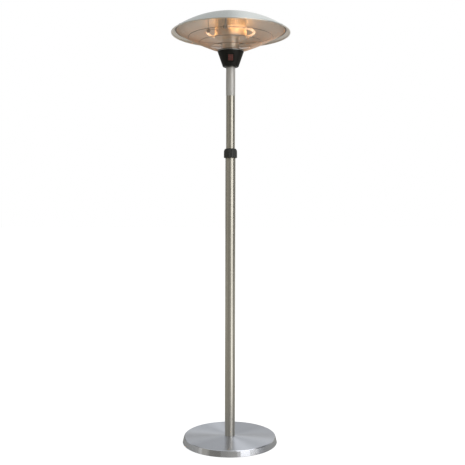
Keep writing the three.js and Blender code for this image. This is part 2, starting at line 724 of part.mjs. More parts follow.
// Height of the reflector's inner facets over a circle, at their lowest.
function underDome(radius) {
  const inner = DOME_SPHERE_RADIUS - DOME_SHEET;
  const widest = radius / Math.cos(Math.PI / BIG_ROUND);
  const step = DOME_BEAD_CIRCLE / DOME_STEPS;
  const sag = (step * step) / (8 * inner);
  return domeCentreZ + Math.sqrt(inner * inner - widest * widest) - sag;
}

function sphereProfile(radius, from, to) {
  return arc(0, domeCentreZ, radius, from, to, DOME_STEPS);
}

function makeReflector() {
  const inner = DOME_SPHERE_RADIUS - DOME_SHEET;
  const beadSphere = DOME_SPHERE_RADIUS - DOME_BEAD_RADIUS;
  const rimAngle = THREE.MathUtils.radToDeg(Math.acos(DOME_BEAD_CIRCLE / beadSphere));
  const beadZ = domeCentreZ + beadSphere * Math.sin(radians(rimAngle));
  const tuck = THREE.MathUtils.radToDeg(Math.acos((inner - beadSphere) / DOME_BEAD_RADIUS));
  const bead = arc(DOME_BEAD_CIRCLE, beadZ, DOME_BEAD_RADIUS, rimAngle, rimAngle + tuck - 360, 6);
  const [tuckR, tuckZ] = bead[bead.length - 1];
  const tuckAngle = THREE.MathUtils.radToDeg(Math.atan2(tuckZ - domeCentreZ, tuckR));
  const shell = turned([
    ...sphereProfile(DOME_SPHERE_RADIUS, 90, rimAngle).slice(0, -1),
    ...bead.slice(0, -1),
    ...sphereProfile(inner, tuckAngle, 90),
  ], BIG_ROUND);
  const holes = [...topScrewAzimuths.map(topScrewHole), ...clipAzimuths.map(rivetHole)];
  add("reflector", "silverSheet", cut(shell, ...holes));
}

const topScrewAzimuths = Array.from({ length: TOP_SCREW_COUNT }, (_, k) => 30 + (360 * k) / TOP_SCREW_COUNT);

function topScrewHole(azimuth) {
  return rod(TOP_SCREW_RADIUS + SEAT_GAP,
    onCircle(TOP_SCREW_CIRCLE, azimuth, domeApex - TOP_SCREW_LENGTH * 2),
    onCircle(TOP_SCREW_CIRCLE, azimuth, domeApex + TOP_SCREW_LENGTH));
}

function makeColumn() {
  const flangeTop = columnFoot + COLUMN_FLANGE_THICKNESS;
  const inner = COLUMN_RADIUS - SHEET;
  const columnTop = underDome(COLUMN_RADIUS) - SEAT_GAP;
  add("column", "silverSheet", cut(turnedRing([
    [inner, columnFoot],
    [COLUMN_FLANGE_RADIUS, columnFoot],
    [COLUMN_FLANGE_RADIUS, flangeTop],
    [COLUMN_RADIUS, flangeTop],
    [COLUMN_RADIUS, columnTop],
    [inner, columnTop],
  ], BIG_ROUND), ...lidScrewHoles(columnFoot - 1, flangeTop + 1), ...leadHoles()));

  const collarBore = COLUMN_RADIUS + SEAT_GAP;
  const drumTop = underDome(DRUM_RADIUS) - SEAT_GAP;
  add("lamp_drum", "polishedSheet", cut(turnedRing([
    [collarBore, drumFloor - DRUM_COLLAR_DROP],
    [collarBore + SHEET, drumFloor - DRUM_COLLAR_DROP],
    [collarBore + SHEET, drumFloor],
    [DRUM_RADIUS, drumFloor],
    [DRUM_RADIUS, drumTop],
    [DRUM_RADIUS - SHEET, drumTop],
    [DRUM_RADIUS - SHEET, drumFloor + SHEET],
    [collarBore, drumFloor + SHEET],
  ], BIG_ROUND), ...leadHoles()));

  const bracketRadius = inner - SEAT_GAP;
  const seats = [0, 0.5, 1].map((share) => bracketRadius * share);
  const skirtBottom = underDome(bracketRadius) - BRACKET_SKIRT;
  const bracket = turned([
    ...seats.map((r) => [r, underDome(r) - SEAT_GAP]),
    [bracketRadius, skirtBottom],
    [bracketRadius - BRACKET_WALL, skirtBottom],
    [bracketRadius - BRACKET_WALL, underDome(bracketRadius) - SEAT_GAP - BRACKET_WALL],
    [0, underDome(0) - SEAT_GAP - BRACKET_WALL],
  ], BIG_ROUND);
  add("top_bracket", "zincSteel", cut(bracket, ...topScrewAzimuths.map(topScrewHole)));

  const lift = Math.sqrt(DOME_SPHERE_RADIUS ** 2 - TOP_SCREW_CIRCLE ** 2);
  const tiltSeat = (TOP_SCREW_HEAD_RADIUS * TOP_SCREW_CIRCLE) / DOME_SPHERE_RADIUS;
  topScrewAzimuths.forEach((azimuth, k) => {
    const at = onCircle(TOP_SCREW_CIRCLE, azimuth, domeCentreZ + lift + tiltSeat + SEAT_GAP);
    add(`top_screw_${k + 1}`, "zincSteel",
      screw(TOP_SCREW_RADIUS, TOP_SCREW_LENGTH, TOP_SCREW_HEAD_RADIUS, TOP_SCREW_HEAD_HEIGHT)
        .translate(at.x, at.y, at.z));
  });
}

// ---------------------------------------------------------------- grille

const hoopRadius = DOME_BEAD_CIRCLE - GRILLE_HOOP_INSET;
const hoopSphere = DOME_SPHERE_RADIUS - DOME_SHEET - GRILLE_EDGE_WIRE - HOOP_SEAT_GAP;
const hoopZ = domeCentreZ + Math.sqrt(hoopSphere ** 2 - hoopRadius ** 2);
const grilleInnerZ = lidTop + SEAT_GAP + GRILLE_EDGE_WIRE;

// Height of the dished grille, and its slope, at a radius.
function grilleZ(radius) {
  const share = (radius - GRILLE_INNER_RADIUS) / (hoopRadius - GRILLE_INNER_RADIUS);
  return grilleInnerZ + (hoopZ - grilleInnerZ) * share - 4 * GRILLE_SAG * share * (1 - share);
}

function grilleSlope(radius) {
  return Math.atan(grilleZ(radius + 0.5) - grilleZ(radius - 0.5));
}

// Ring radii from the inner wire to the hoop, with one light ring halfway between stiff ones.
function grilleRings() {
  const stiff = [GRILLE_INNER_RADIUS, ...GRILLE_STIFF_RINGS, hoopRadius];
  const radii = [stiff[0]];
  for (let k = 1; k < stiff.length; k += 1) {
    radii.push((stiff[k - 1] + stiff[k]) / 2, stiff[k]);
  }
  return radii;
}

// One closed lattice of rings and spokes. Each wire has a ridge above and below, and each
// window has a corner at both ends of each of the two spokes beside it.
function makeGrille() {
  const radii = grilleRings();
  const last = radii.length - 1;
  const half = radii.map((_, i) => (i === 0 || i === last ? GRILLE_EDGE_WIRE : GRILLE_WIRE));
  const vertices = [];
  const faces = [];

  // side is +1 or -1 along the ring, out is +1 or -1 across it, up is +1, 0 or -1
  function point(i, j, side, out, up) {
    const slope = grilleSlope(radii[i]);
    const across = out * half[i] * Math.cos(slope) - up * half[i] * Math.sin(slope);
    const radius = radii[i] + across;
    const z = grilleZ(radii[i]) + out * half[i] * Math.sin(slope) + up * half[i] * Math.cos(slope);
    const angle = (2 * Math.PI * j) / GRILLE_SPOKES + (side * GRILLE_WIRE) / radius;
    vertices.push(radius * Math.cos(angle), radius * Math.sin(angle), z);
    return vertices.length / 3 - 1;
  }
  function quad(a, b, c, d) {
    faces.push(a, b, c, a, c, d);
  }

  const nodes = radii.map((_, i) => Array.from({ length: GRILLE_SPOKES }, (_, j) => {
    const edge = (i === 0 && -1) || (i === last && 1) || 0;
    return {
      top: point(i, j, 0, 0, 1),
      bottom: point(i, j, 0, 0, -1),
      rim: edge ? point(i, j, 0, edge, 0) : null,
      outAhead: i < last ? point(i, j, 1, 1, 0) : null,
      outBehind: i < last ? point(i, j, -1, 1, 0) : null,
      inAhead: i > 0 ? point(i, j, 1, -1, 0) : null,
      inBehind: i > 0 ? point(i, j, -1, -1, 0) : null,
    };
  }));

  for (let i = 0; i <= last; i += 1) {
    for (let j = 0; j < GRILLE_SPOKES; j += 1) {
      const here = nodes[i][j];
      const next = nodes[i][(j + 1) % GRILLE_SPOKES];
      const outer = i < last ? [here.outAhead, next.outBehind] : [here.rim, next.rim];
      const inner = i > 0 ? [here.inAhead, next.inBehind] : [here.rim, next.rim];
      quad(here.top, outer[0], outer[1], next.top);
      quad(here.bottom, next.bottom, outer[1], outer[0]);
      quad(here.top, next.top, inner[1], inner[0]);
      quad(here.bottom, inner[0], inner[1], next.bottom);
      if (i < last) {
        const above = nodes[i + 1][j];
        quad(here.top, above.top, above.inAhead, here.outAhead);
        quad(here.bottom, here.outAhead, above.inAhead, above.bottom);
        quad(here.top, here.outBehind, above.inBehind, above.top);
        quad(here.bottom, above.bottom, above.inBehind, here.outBehind);
      }
    }
  }
  const lattice = new THREE.BufferGeometry()
    .setAttribute("position", new THREE.Float32BufferAttribute(vertices, 3))
    .setIndex(faces);
  add("grille", "grilleWire", lattice);
}

// ---------------------------------------------------------------- hoop clips

const clipAzimuths = Array.from({ length: HOOP_CLIP_COUNT }, (_, k) => 90 + (360 * k) / HOOP_CLIP_COUNT);

// A frame on the reflector's inner face: X down the slope, Y along the rim, Z out through it.
function clipFrame(azimuth) {
  const start = hoopRadius + GRILLE_EDGE_WIRE + HOOP_CLIP_SHEET;
  const widest = start / Math.cos(Math.PI / BIG_ROUND);
  const tilt = Math.asin(widest / (DOME_SPHERE_RADIUS - DOME_SHEET));
  const out = new THREE.Vector3(Math.sin(tilt), 0, Math.cos(tilt));
  const down = new THREE.Vector3(Math.cos(tilt), 0, -Math.sin(tilt));
  const frame = new THREE.Matrix4()
    .makeBasis(down, new THREE.Vector3(0, 1, 0), out)
    .setPosition(start, 0, underDome(start));
  return new THREE.Matrix4().makeRotationZ(radians(azimuth)).multiply(frame);
}

function rivetHole(azimuth) {
  const middle = HOOP_CLIP_FOOT / 2;
  return rod(RIVET_RADIUS + SEAT_GAP, new THREE.Vector3(middle, 0, -9), new THREE.Vector3(middle, 0, 9))
    .applyMatrix4(clipFrame(azimuth));
}

function makeHoopClips() {
  const footTop = -SEAT_GAP * 2;
  const footBottom = footTop - HOOP_CLIP_SHEET;
  const wireDepth = 2 * GRILLE_EDGE_WIRE + HOOP_SEAT_GAP + SEAT_GAP;
  const tongueTop = -wireDepth - SEAT_GAP;
  const tongueBottom = tongueTop - HOOP_CLIP_SHEET;
  const profile = new THREE.Shape([
    new THREE.Vector2(HOOP_CLIP_FOOT, footTop),
    new THREE.Vector2(0, footTop),
    new THREE.Vector2(-HOOP_CLIP_SHEET * 0.4, tongueTop),
    new THREE.Vector2(-HOOP_CLIP_TONGUE, tongueTop),
    new THREE.Vector2(-HOOP_CLIP_TONGUE, tongueBottom),
    new THREE.Vector2(HOOP_CLIP_SHEET * 0.8, tongueBottom),
    new THREE.Vector2(HOOP_CLIP_SHEET * 1.2, footBottom),
    new THREE.Vector2(HOOP_CLIP_FOOT, footBottom),
  ]);
  const acrossHoop = new THREE.Matrix4().makeBasis(
    new THREE.Vector3(1, 0, 0),
    new THREE.Vector3(0, 0, 1),
    new THREE.Vector3(0, -1, 0),
  );
  clipAzimuths.forEach((azimuth, k) => {
    const clip = new THREE.ExtrudeGeometry(profile, { depth: HOOP_CLIP_WIDTH, bevelEnabled: false })
      .applyMatrix4(acrossHoop)
      .translate(0, HOOP_CLIP_WIDTH / 2, 0)
      .applyMatrix4(clipFrame(azimuth));
    add(`hoop_clip_${k + 1}`, "zincSteel", cut(clip, rivetHole(azimuth)));

    const middle = HOOP_CLIP_FOOT / 2;
    const headSeat = DOME_SHEET + SEAT_GAP * 3;
    const tail = rod(RIVET_HEAD_RADIUS,
      new THREE.Vector3(middle, 0, footBottom - SEAT_GAP - RIVET_HEAD_HEIGHT),
      new THREE.Vector3(middle, 0, footBottom - SEAT_GAP));
    const rivet = screw(RIVET_RADIUS, headSeat - footBottom + SEAT_GAP * 2, RIVET_HEAD_RADIUS,
      RIVET_HEAD_HEIGHT).translate(middle, 0, headSeat);
    add(`clip_rivet_${k + 1}`, "zincSteel", join(rivet, tail).applyMatrix4(clipFrame(azimuth)));
  });
}

// ---------------------------------------------------------------- ring lamp

class RingArc extends THREE.Curve {
  constructor(radius, z, from, to) {
    super();
    Object.assign(this, { radius, z, from, to });
  }

  getPoint(t) {
    return onCircle(this.radius, this.from + (this.to - this.from) * t, this.z);
  }
}

const lampFrom = LAMP_GAP_AZIMUTH + LAMP_GAP_ANGLE / 2 - 360;
const lampTo = LAMP_GAP_AZIMUTH - LAMP_GAP_ANGLE / 2;
const lampArc = new RingArc(LAMP_CIRCLE_RADIUS, lampZ, lampFrom, lampTo);

function roundShape(radius, sides) {
  const points = Array.from({ length: sides }, (_, k) => {
    const angle = (2 * Math.PI * k) / sides;
    return new THREE.Vector2(radius * Math.cos(angle), radius * Math.sin(angle));
  });
  return new THREE.Shape(points);
}

function along(curve, shape, steps) {
  return new THREE.ExtrudeGeometry(shape, { extrudePath: curve, steps, bevelEnabled: false });
}

// Both lamp ends, each with the way that its cap points, into the gap of the ring.
const lampEnds = [
  { azimuth: lampFrom, turn: -1 },
  { azimuth: lampTo, turn: 1 },
].map(({ azimuth, turn }) => {
  const into = new THREE.Vector3(-Math.sin(radians(azimuth)), Math.cos(radians(azimuth)), 0)
    .multiplyScalar(turn);
  const end = onCircle(LAMP_CIRCLE_RADIUS, azimuth, lampZ);
  return { azimuth, turn, into, end };
});

function leadAzimuth(turn) {
  return LAMP_GAP_AZIMUTH - turn * LEAD_SPREAD;
}

function leadHoles() {
  return lampEnds.map(({ turn }) => rod(
    LEAD_HOLE_RADIUS,
    onCircle(COLUMN_RADIUS * 0.7, leadAzimuth(turn), lampZ),
    onCircle(DRUM_RADIUS * 1.1, leadAzimuth(turn), lampZ),
  ));
}

function makeLamp() {
  const glass = roundShape(LAMP_TUBE_RADIUS, 8);
  glass.holes.push(roundShape(LAMP_TUBE_RADIUS - LAMP_TUBE_WALL, 8));
  add("lamp_tube", "quartz", along(lampArc, glass, LAMP_STEPS));
  add("lamp_filament", "glowingWire", along(lampArc, roundShape(FILAMENT_RADIUS, 5), LAMP_STEPS));

  const capBore = LAMP_TUBE_RADIUS + CAP_BORE_GAP;
  const leadBore = LEAD_RADIUS + SEAT_GAP;
  const pocket = CAP_LENGTH - CAP_INSERT - SEAT_GAP;
  lampEnds.forEach(({ into, end }, k) => {
    const back = end.clone().addScaledVector(into, CAP_LENGTH - CAP_INSERT);
    const cap = turnedRing([
      [leadBore, 0],
      [CAP_RADIUS, 0],
      [CAP_RADIUS, CAP_LENGTH],
      [capBore, CAP_LENGTH],
      [capBore, pocket],
      [leadBore, pocket],
    ], 12);
    add(`lamp_cap_${k + 1}`, "ceramic", aimed(cap, back, end));

    const middle = end.clone().addScaledVector(into, CAP_LENGTH / 2 - CAP_INSERT);
    const ringRadius = CAP_RADIUS + SEAT_GAP;
    const ringStart = middle.clone().addScaledVector(into, -POST_WIDTH / 2);
    const band = ring(ringRadius, ringRadius + POST_RING_WALL, 0, POST_WIDTH, 12);
    const collar = aimed(band, ringStart, middle);
    const away = Math.hypot(middle.x, middle.y);
    const strapTop = underDome(away + POST_WIDTH) - SEAT_GAP;
    const strap = box(-POST_THICKNESS / 2, POST_THICKNESS / 2, -POST_WIDTH / 2, POST_WIDTH / 2,
      lampZ + ringRadius + POST_RING_WALL / 2, strapTop)
      .rotateZ(Math.atan2(into.y, into.x) - Math.PI / 2)
      .translate(middle.x, middle.y, 0);
    add(`lamp_post_${k + 1}`, "zincSteel", join(collar, strap));
  });

  LAMP_CLIP_AZIMUTHS.forEach((azimuth, k) => {
    const bore = LAMP_TUBE_RADIUS + CAP_BORE_GAP;
    const hook = ring(bore, bore + CLIP_SHEET, -CLIP_WIDTH / 2, CLIP_WIDTH / 2, 12)
      .rotateX(Math.PI / 2)
      .translate(LAMP_CIRCLE_RADIUS, 0, lampZ);
    const arm = box(DRUM_RADIUS + SEAT_GAP, LAMP_CIRCLE_RADIUS - bore - CLIP_SHEET / 2,
      -CLIP_WIDTH / 2, CLIP_WIDTH / 2, lampZ - CLIP_SHEET / 2, lampZ + CLIP_SHEET / 2);
    const mouth = box(LAMP_CIRCLE_RADIUS, LAMP_CIRCLE_RADIUS + bore * 2,
      -CLIP_WIDTH, CLIP_WIDTH, lampZ - CLIP_OPENING / 2, lampZ + CLIP_OPENING / 2);
    add(`lamp_clip_${k + 1}`, "zincSteel", cut(join(arm, hook), mouth).rotateZ(radians(azimuth)));
  });

  // Each lead runs from its cap into the drum, through the column's wall, down the column
  // and through the lid to the terminal block.
  const blockFace = LID_HOLE_RADIUS + BLOCK_SETBACK - SEAT_GAP;
  const blockMiddle = lidBottom - SEAT_GAP - BLOCK_HEIGHT / 2;
  lampEnds.forEach(({ into, end, turn }, k) => {
    const azimuth = leadAzimuth(turn);
    const cap = (distance) => end.clone().addScaledVector(into, distance);
    const sideways = -turn * LEAD_SPACING;
    const route = new THREE.CatmullRomCurve3([
      cap(CAP_LENGTH / 2 - CAP_INSERT),
      cap(CAP_LENGTH - CAP_INSERT),
      cap(CAP_LENGTH - CAP_INSERT + 8),
      onCircle(DRUM_RADIUS + 10, azimuth, lampZ),
      onCircle(DRUM_RADIUS, azimuth, lampZ),
      onCircle((DRUM_RADIUS + COLUMN_RADIUS) / 2, azimuth, lampZ),
      onCircle(COLUMN_RADIUS, azimuth, lampZ),
      onCircle(COLUMN_RADIUS - 12, azimuth, lampZ - 5),
      onCircle(COLUMN_RADIUS / 2, azimuth, lampZ - 25),
      new THREE.Vector3(sideways, 0, (lampZ + lidTop) / 2),
      new THREE.Vector3(sideways, LID_HOLE_RADIUS * 0.6, lidTop + 10),
      new THREE.Vector3(sideways, LID_HOLE_RADIUS * 0.7, blockMiddle + 4),
      new THREE.Vector3(sideways, blockFace - 5, blockMiddle),
      new THREE.Vector3(sideways, blockFace, blockMiddle),
    ], false, "centripetal");
    add(`lamp_lead_${k + 1}`, "leadSleeve", along(route, roundShape(LEAD_RADIUS, 5), LEAD_STEPS));
  });
}

makeBase();
makePole();
makeHousing();
makeSwitch();
makeColumn();
makeReflector();
makeGrille();
makeHoopClips();
makeLamp();

export default heater;
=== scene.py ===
"""An infrared patio heater tower: round base, two-part pole with a clamp collar, black switch
housing, and a wide spherical reflector with a ring lamp behind a wire grille.

Metres, +Z up, the front faces -Y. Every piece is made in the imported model's own frame.
"""

import json
import math

import bmesh
import bpy
from mathutils import Matrix, Vector


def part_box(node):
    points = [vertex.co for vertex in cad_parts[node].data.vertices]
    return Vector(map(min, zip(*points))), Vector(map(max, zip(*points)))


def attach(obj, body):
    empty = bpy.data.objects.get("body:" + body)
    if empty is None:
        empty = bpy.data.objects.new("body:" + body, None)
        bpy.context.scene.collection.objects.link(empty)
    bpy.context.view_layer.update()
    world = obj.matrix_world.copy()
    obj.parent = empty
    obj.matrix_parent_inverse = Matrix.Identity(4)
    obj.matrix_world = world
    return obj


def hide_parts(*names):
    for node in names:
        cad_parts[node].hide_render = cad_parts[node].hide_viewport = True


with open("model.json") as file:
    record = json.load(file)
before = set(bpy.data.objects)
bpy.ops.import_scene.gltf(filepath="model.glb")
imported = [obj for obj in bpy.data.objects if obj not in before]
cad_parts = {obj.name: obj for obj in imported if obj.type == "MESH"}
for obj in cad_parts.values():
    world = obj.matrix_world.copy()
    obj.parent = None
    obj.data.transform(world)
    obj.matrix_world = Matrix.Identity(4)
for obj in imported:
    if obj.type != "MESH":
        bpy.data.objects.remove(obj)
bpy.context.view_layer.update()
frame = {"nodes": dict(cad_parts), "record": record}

bl_info = {
    "name": "Patio heater tower",
    "version": (1, 0, 0),
    "blender": (4, 5, 0),
    "location": "View3D > Sidebar > Heater",
    "description": "Builds the visible pieces of an infrared patio heater tower",
    "category": "Add Mesh",
}

NODES = frame["nodes"]
MM = 0.001
FULL_TURN = 2 * math.pi
QUARTER_TURN = math.radians(90)

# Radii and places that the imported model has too. Azimuths are in degrees from +X.
GRILLE_INNER = 62.5 * MM
GRILLE_RINGS = (105 * MM, 157 * MM, 210 * MM)
LAMP_CIRCLE, LAMP_GLASS = 116 * MM, 6 * MM
LAMP_START, LAMP_END = -99, 195
LEAD_HOLES, LEAD_HOLE = (240, 216), 4 * MM
COLUMN, COLUMN_FLANGE = 42 * MM, 59.5 * MM
DRUM_NECK, DRUM_NECK_RISE = 43.1 * MM, 10 * MM
TUBE_WALL, LABEL_FILM = 1.2 * MM, 0.35 * MM
COVER_HOLE, COVER_SLANT = 19.5 * MM, 6 * MM
HOUSING_FOOT, HOUSING_CORNER, HOUSING_WALL = 39.5 * MM, 6 * MM, 2.5 * MM
HOUSING_SLOPE = math.atan2(25.5, 75)
TUBE_HOLE = 22.55 * MM

# The switch: width, height and depth of its parts, and how far the pivot lies behind the pad
PAD, PAD_PLACE = (38 * MM, 46 * MM, 9 * MM), (0, -52.08 * MM, 1915 * MM)
PAD_STANDS_OUT = 1.5 * MM
BEZEL, BEZEL_LIFT = (34 * MM, 42 * MM, 3 * MM), 1.8 * MM
PAD_WINDOW = (28.8 * MM, 34.8 * MM, 30 * MM)
BEZEL_OPENING = (25.4 * MM, 31.4 * MM, 10 * MM)
ROCKER_WIDTH, ROCKER_OFFSET, ROCKER_PIVOT = 12.1 * MM, 6.35 * MM, 2 * MM
ROCKER_TILT = math.radians(-8)

# The camera, for an image 465 pixels wide: place, then its turns in degrees
IMAGE_WIDTH, FOCAL_LENGTH_IN_PIXELS, SENSOR_WIDTH = 465, 700, 36
CAMERA_PLACE = (0, -3.501, 1.1706)
CAMERA_TURNS = (("Z", -0.18), ("X", 90 - 1.87), ("Z", 0.14))

# Polishing marks run round the pole, so they spread highlights along it: a quarter turn
SPREAD_UPRIGHT = 0.25

# Light of the hot coil on the sheet round it
GLOW_PIECES, GLOW_LEVEL = 14, 46.0
# The softbox: from heading, to heading, distance, bottom, top, level
KEY_SOFTBOX = (17, 67, 3.2, 1.0, 3.8, 1.55)

# What stands round the studio: heading from the front towards +X in degrees, and its level
WALLS = ((-164, 0.18), (-94, 0.22), (-80, 0.36), (-72, 0.54), (-56, 0.54), (-48, 0.28),
         (-12, 0.26), (8, 0.38), (66, 0.38), (74, 0.05), (114, 0.05), (124, 0.46), (150, 0.46))
# Low cards on the floor, whose light adds to the walls': from heading, to heading, level
CARD_DISTANCE, CARD_TOP = 1.9, 0.6
LOW_CARDS = ((-130, -78, 0.20), (-76, -66, 0.25), (-20, 18, 0.12), (18, 24, 0.25),
             (24, 46, 1.00), (46, 56, 0.50), (56, 68, 0.30), (68, 140, 0.22))


# ---- places taken from the frame

def low(node):
    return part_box(node)[0]


def high(node):
    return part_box(node)[1]


def middle(node):
    return (low(node) + high(node)) / 2


def radius_of(node):
    """Outer radius of a round node whose axis is the pole's."""
    return high(node).x


# ---- sizes and colours

def length(name, description, default):
    return bpy.props.FloatProperty(
        name=name, description=description, default=default, unit="LENGTH", precision=5)


def count(name, description, default):
    return bpy.props.IntProperty(name=name, description=description, default=default, min=3)


def colour(name, description, default):
    return bpy.props.FloatVectorProperty(
        name=name, description=description, default=default, subtype="COLOR", size=3,
        min=0.0, max=1.0)


class HeaterSizes(bpy.types.PropertyGroup):
    large_steps: count("Large round", "Steps round the base, housing and reflector", 192)
    tube_steps: count("Tube round", "Steps round the tubes of the pole", 96)
    wire_count: count("Grille wires", "Radial wires that reach the hoop", 176)
    wire: length("Radial wire", "Thickness of a radial grille wire", 1.5 * MM)
    ring_wire: length("Ring wire", "Thickness of the grille's stiff rings", 3.0 * MM)
    hoop_wire: length("Hoop wire", "Thickness of the grille's hoop and inner ring", 4.6 * MM)
    grille_dish: length("Grille dish", "Depth that the grille bows below a straight cone",
                        6 * MM)
    dome_sphere: length("Dome sphere", "Radius of the sphere that the reflector is part of",
                        508 * MM)
    dome_sheet: length("Dome sheet", "Thickness of the reflector", 1.2 * MM)
    dome_bead: length("Rim bead", "Radius of the rolled bead round the reflector", 3 * MM)
    thin_sheet: length("Thin sheet", "Thickness of the base cover, column and drum", 0.8 * MM)
    cover_edge: length("Cover edge", "Rounding of the base cover's shoulder", 6 * MM)
    nut_lobes: count("Grip lobes", "Lobes round the clamp collar", 10)
    nut_lobe_depth: length("Lobe depth", "Depth of the hollows between the lobes", 1.4 * MM)
    coil_radius: length("Coil radius", "Radius of the glowing coil in the lamp", 4.9 * MM)
    coil_pitch: length("Coil pitch", "Distance between turns of the coil", 6.5 * MM)


class HeaterColours(bpy.types.PropertyGroup):
    steel: colour("Steel", "Brushed steel of the pole", (0.62, 0.59, 0.52))
    cover: colour("Cover steel", "Brushed sheet of the base", (0.71, 0.73, 0.79))
    silver: colour("Silver sheet", "Satin sheet of the reflector and lid", (0.74, 0.76, 0.74))
    bright: colour("Bright sheet", "Polished sheet of drum, column and dome", (0.93, 0.87, 0.79))
    zinc: colour("Zinc", "Plated screws, clips and brackets", (0.52, 0.53, 0.54))
    # The grille wire's warm colour is partly painted glow of the lamp.
    wire: colour("Grille wire", "Plated grille wire, warmed by heat", (0.86, 0.69, 0.57))
    black: colour("Black plastic", "Housing, switch and tube socket", (0.014, 0.0135, 0.0115))
    grip: colour("Grip plastic", "Clamp collar", (0.028, 0.029, 0.028))
    grey: colour("Grey plastic", "Bushes inside the pole", (0.09, 0.095, 0.095))
    red: colour("Red plastic", "Rocker switches", (0.13, 0.034, 0.029))
    label: colour("Label", "Blank film on the upper tube", (0.70, 0.69, 0.67))
    concrete: colour("Concrete", "Ballast in the base", (0.27, 0.26, 0.24))
    rubber: colour("Rubber", "Feet and cable gland", (0.016, 0.016, 0.017))
    ceramic: colour("Ceramic", "Lamp ends and terminal block", (0.36, 0.30, 0.24))
    sleeve: colour("Lead sleeve", "Glass-fibre sleeve on the lamp leads", (0.48, 0.40, 0.28))
    glow: colour("Glow", "Light of the hot coil", (1.0, 0.48, 0.13))
    quartz: colour("Quartz", "Warm tint of the lamp's glass", (1.0, 0.86, 0.68))
    floor: colour("Floor", "Pale studio floor", (0.50, 0.49, 0.46))


def sizes():
    return bpy.context.scene.heater_sizes


def colours():
    return bpy.context.scene.heater_colours


# ---- shader maths

def operator_node(operation, reflected=False):
    """A method that adds the Math node of an operator, or of its reflected form."""
    def method(self, other):
        return self.maths(operation, *((other, self) if reflected else (self, other)))
    return method


class Value:
    """A socket of a material, so that shader maths reads as an expression."""

    __add__, __radd__ = operator_node("ADD"), operator_node("ADD", True)
    __sub__, __rsub__ = operator_node("SUBTRACT"), operator_node("SUBTRACT", True)
    __mul__, __rmul__ = operator_node("MULTIPLY"), operator_node("MULTIPLY", True)
    __truediv__, __pow__ = operator_node("DIVIDE"), operator_node("POWER")
    above = operator_node("GREATER_THAN")

    def __init__(self, finish, socket):
        self.finish = finish
        self.socket = socket

    def maths(self, operation, *others):
        node = self.finish.tree.nodes.new("ShaderNodeMath")
        node.operation = operation
        for socket, value in zip(node.inputs, others):
            self.finish.feed(socket, value)
        return Value(self.finish, node.outputs[0])

    def sine(self):
        return self.maths("SINE", self)

    def size(self):
        return self.maths("ABSOLUTE", self)


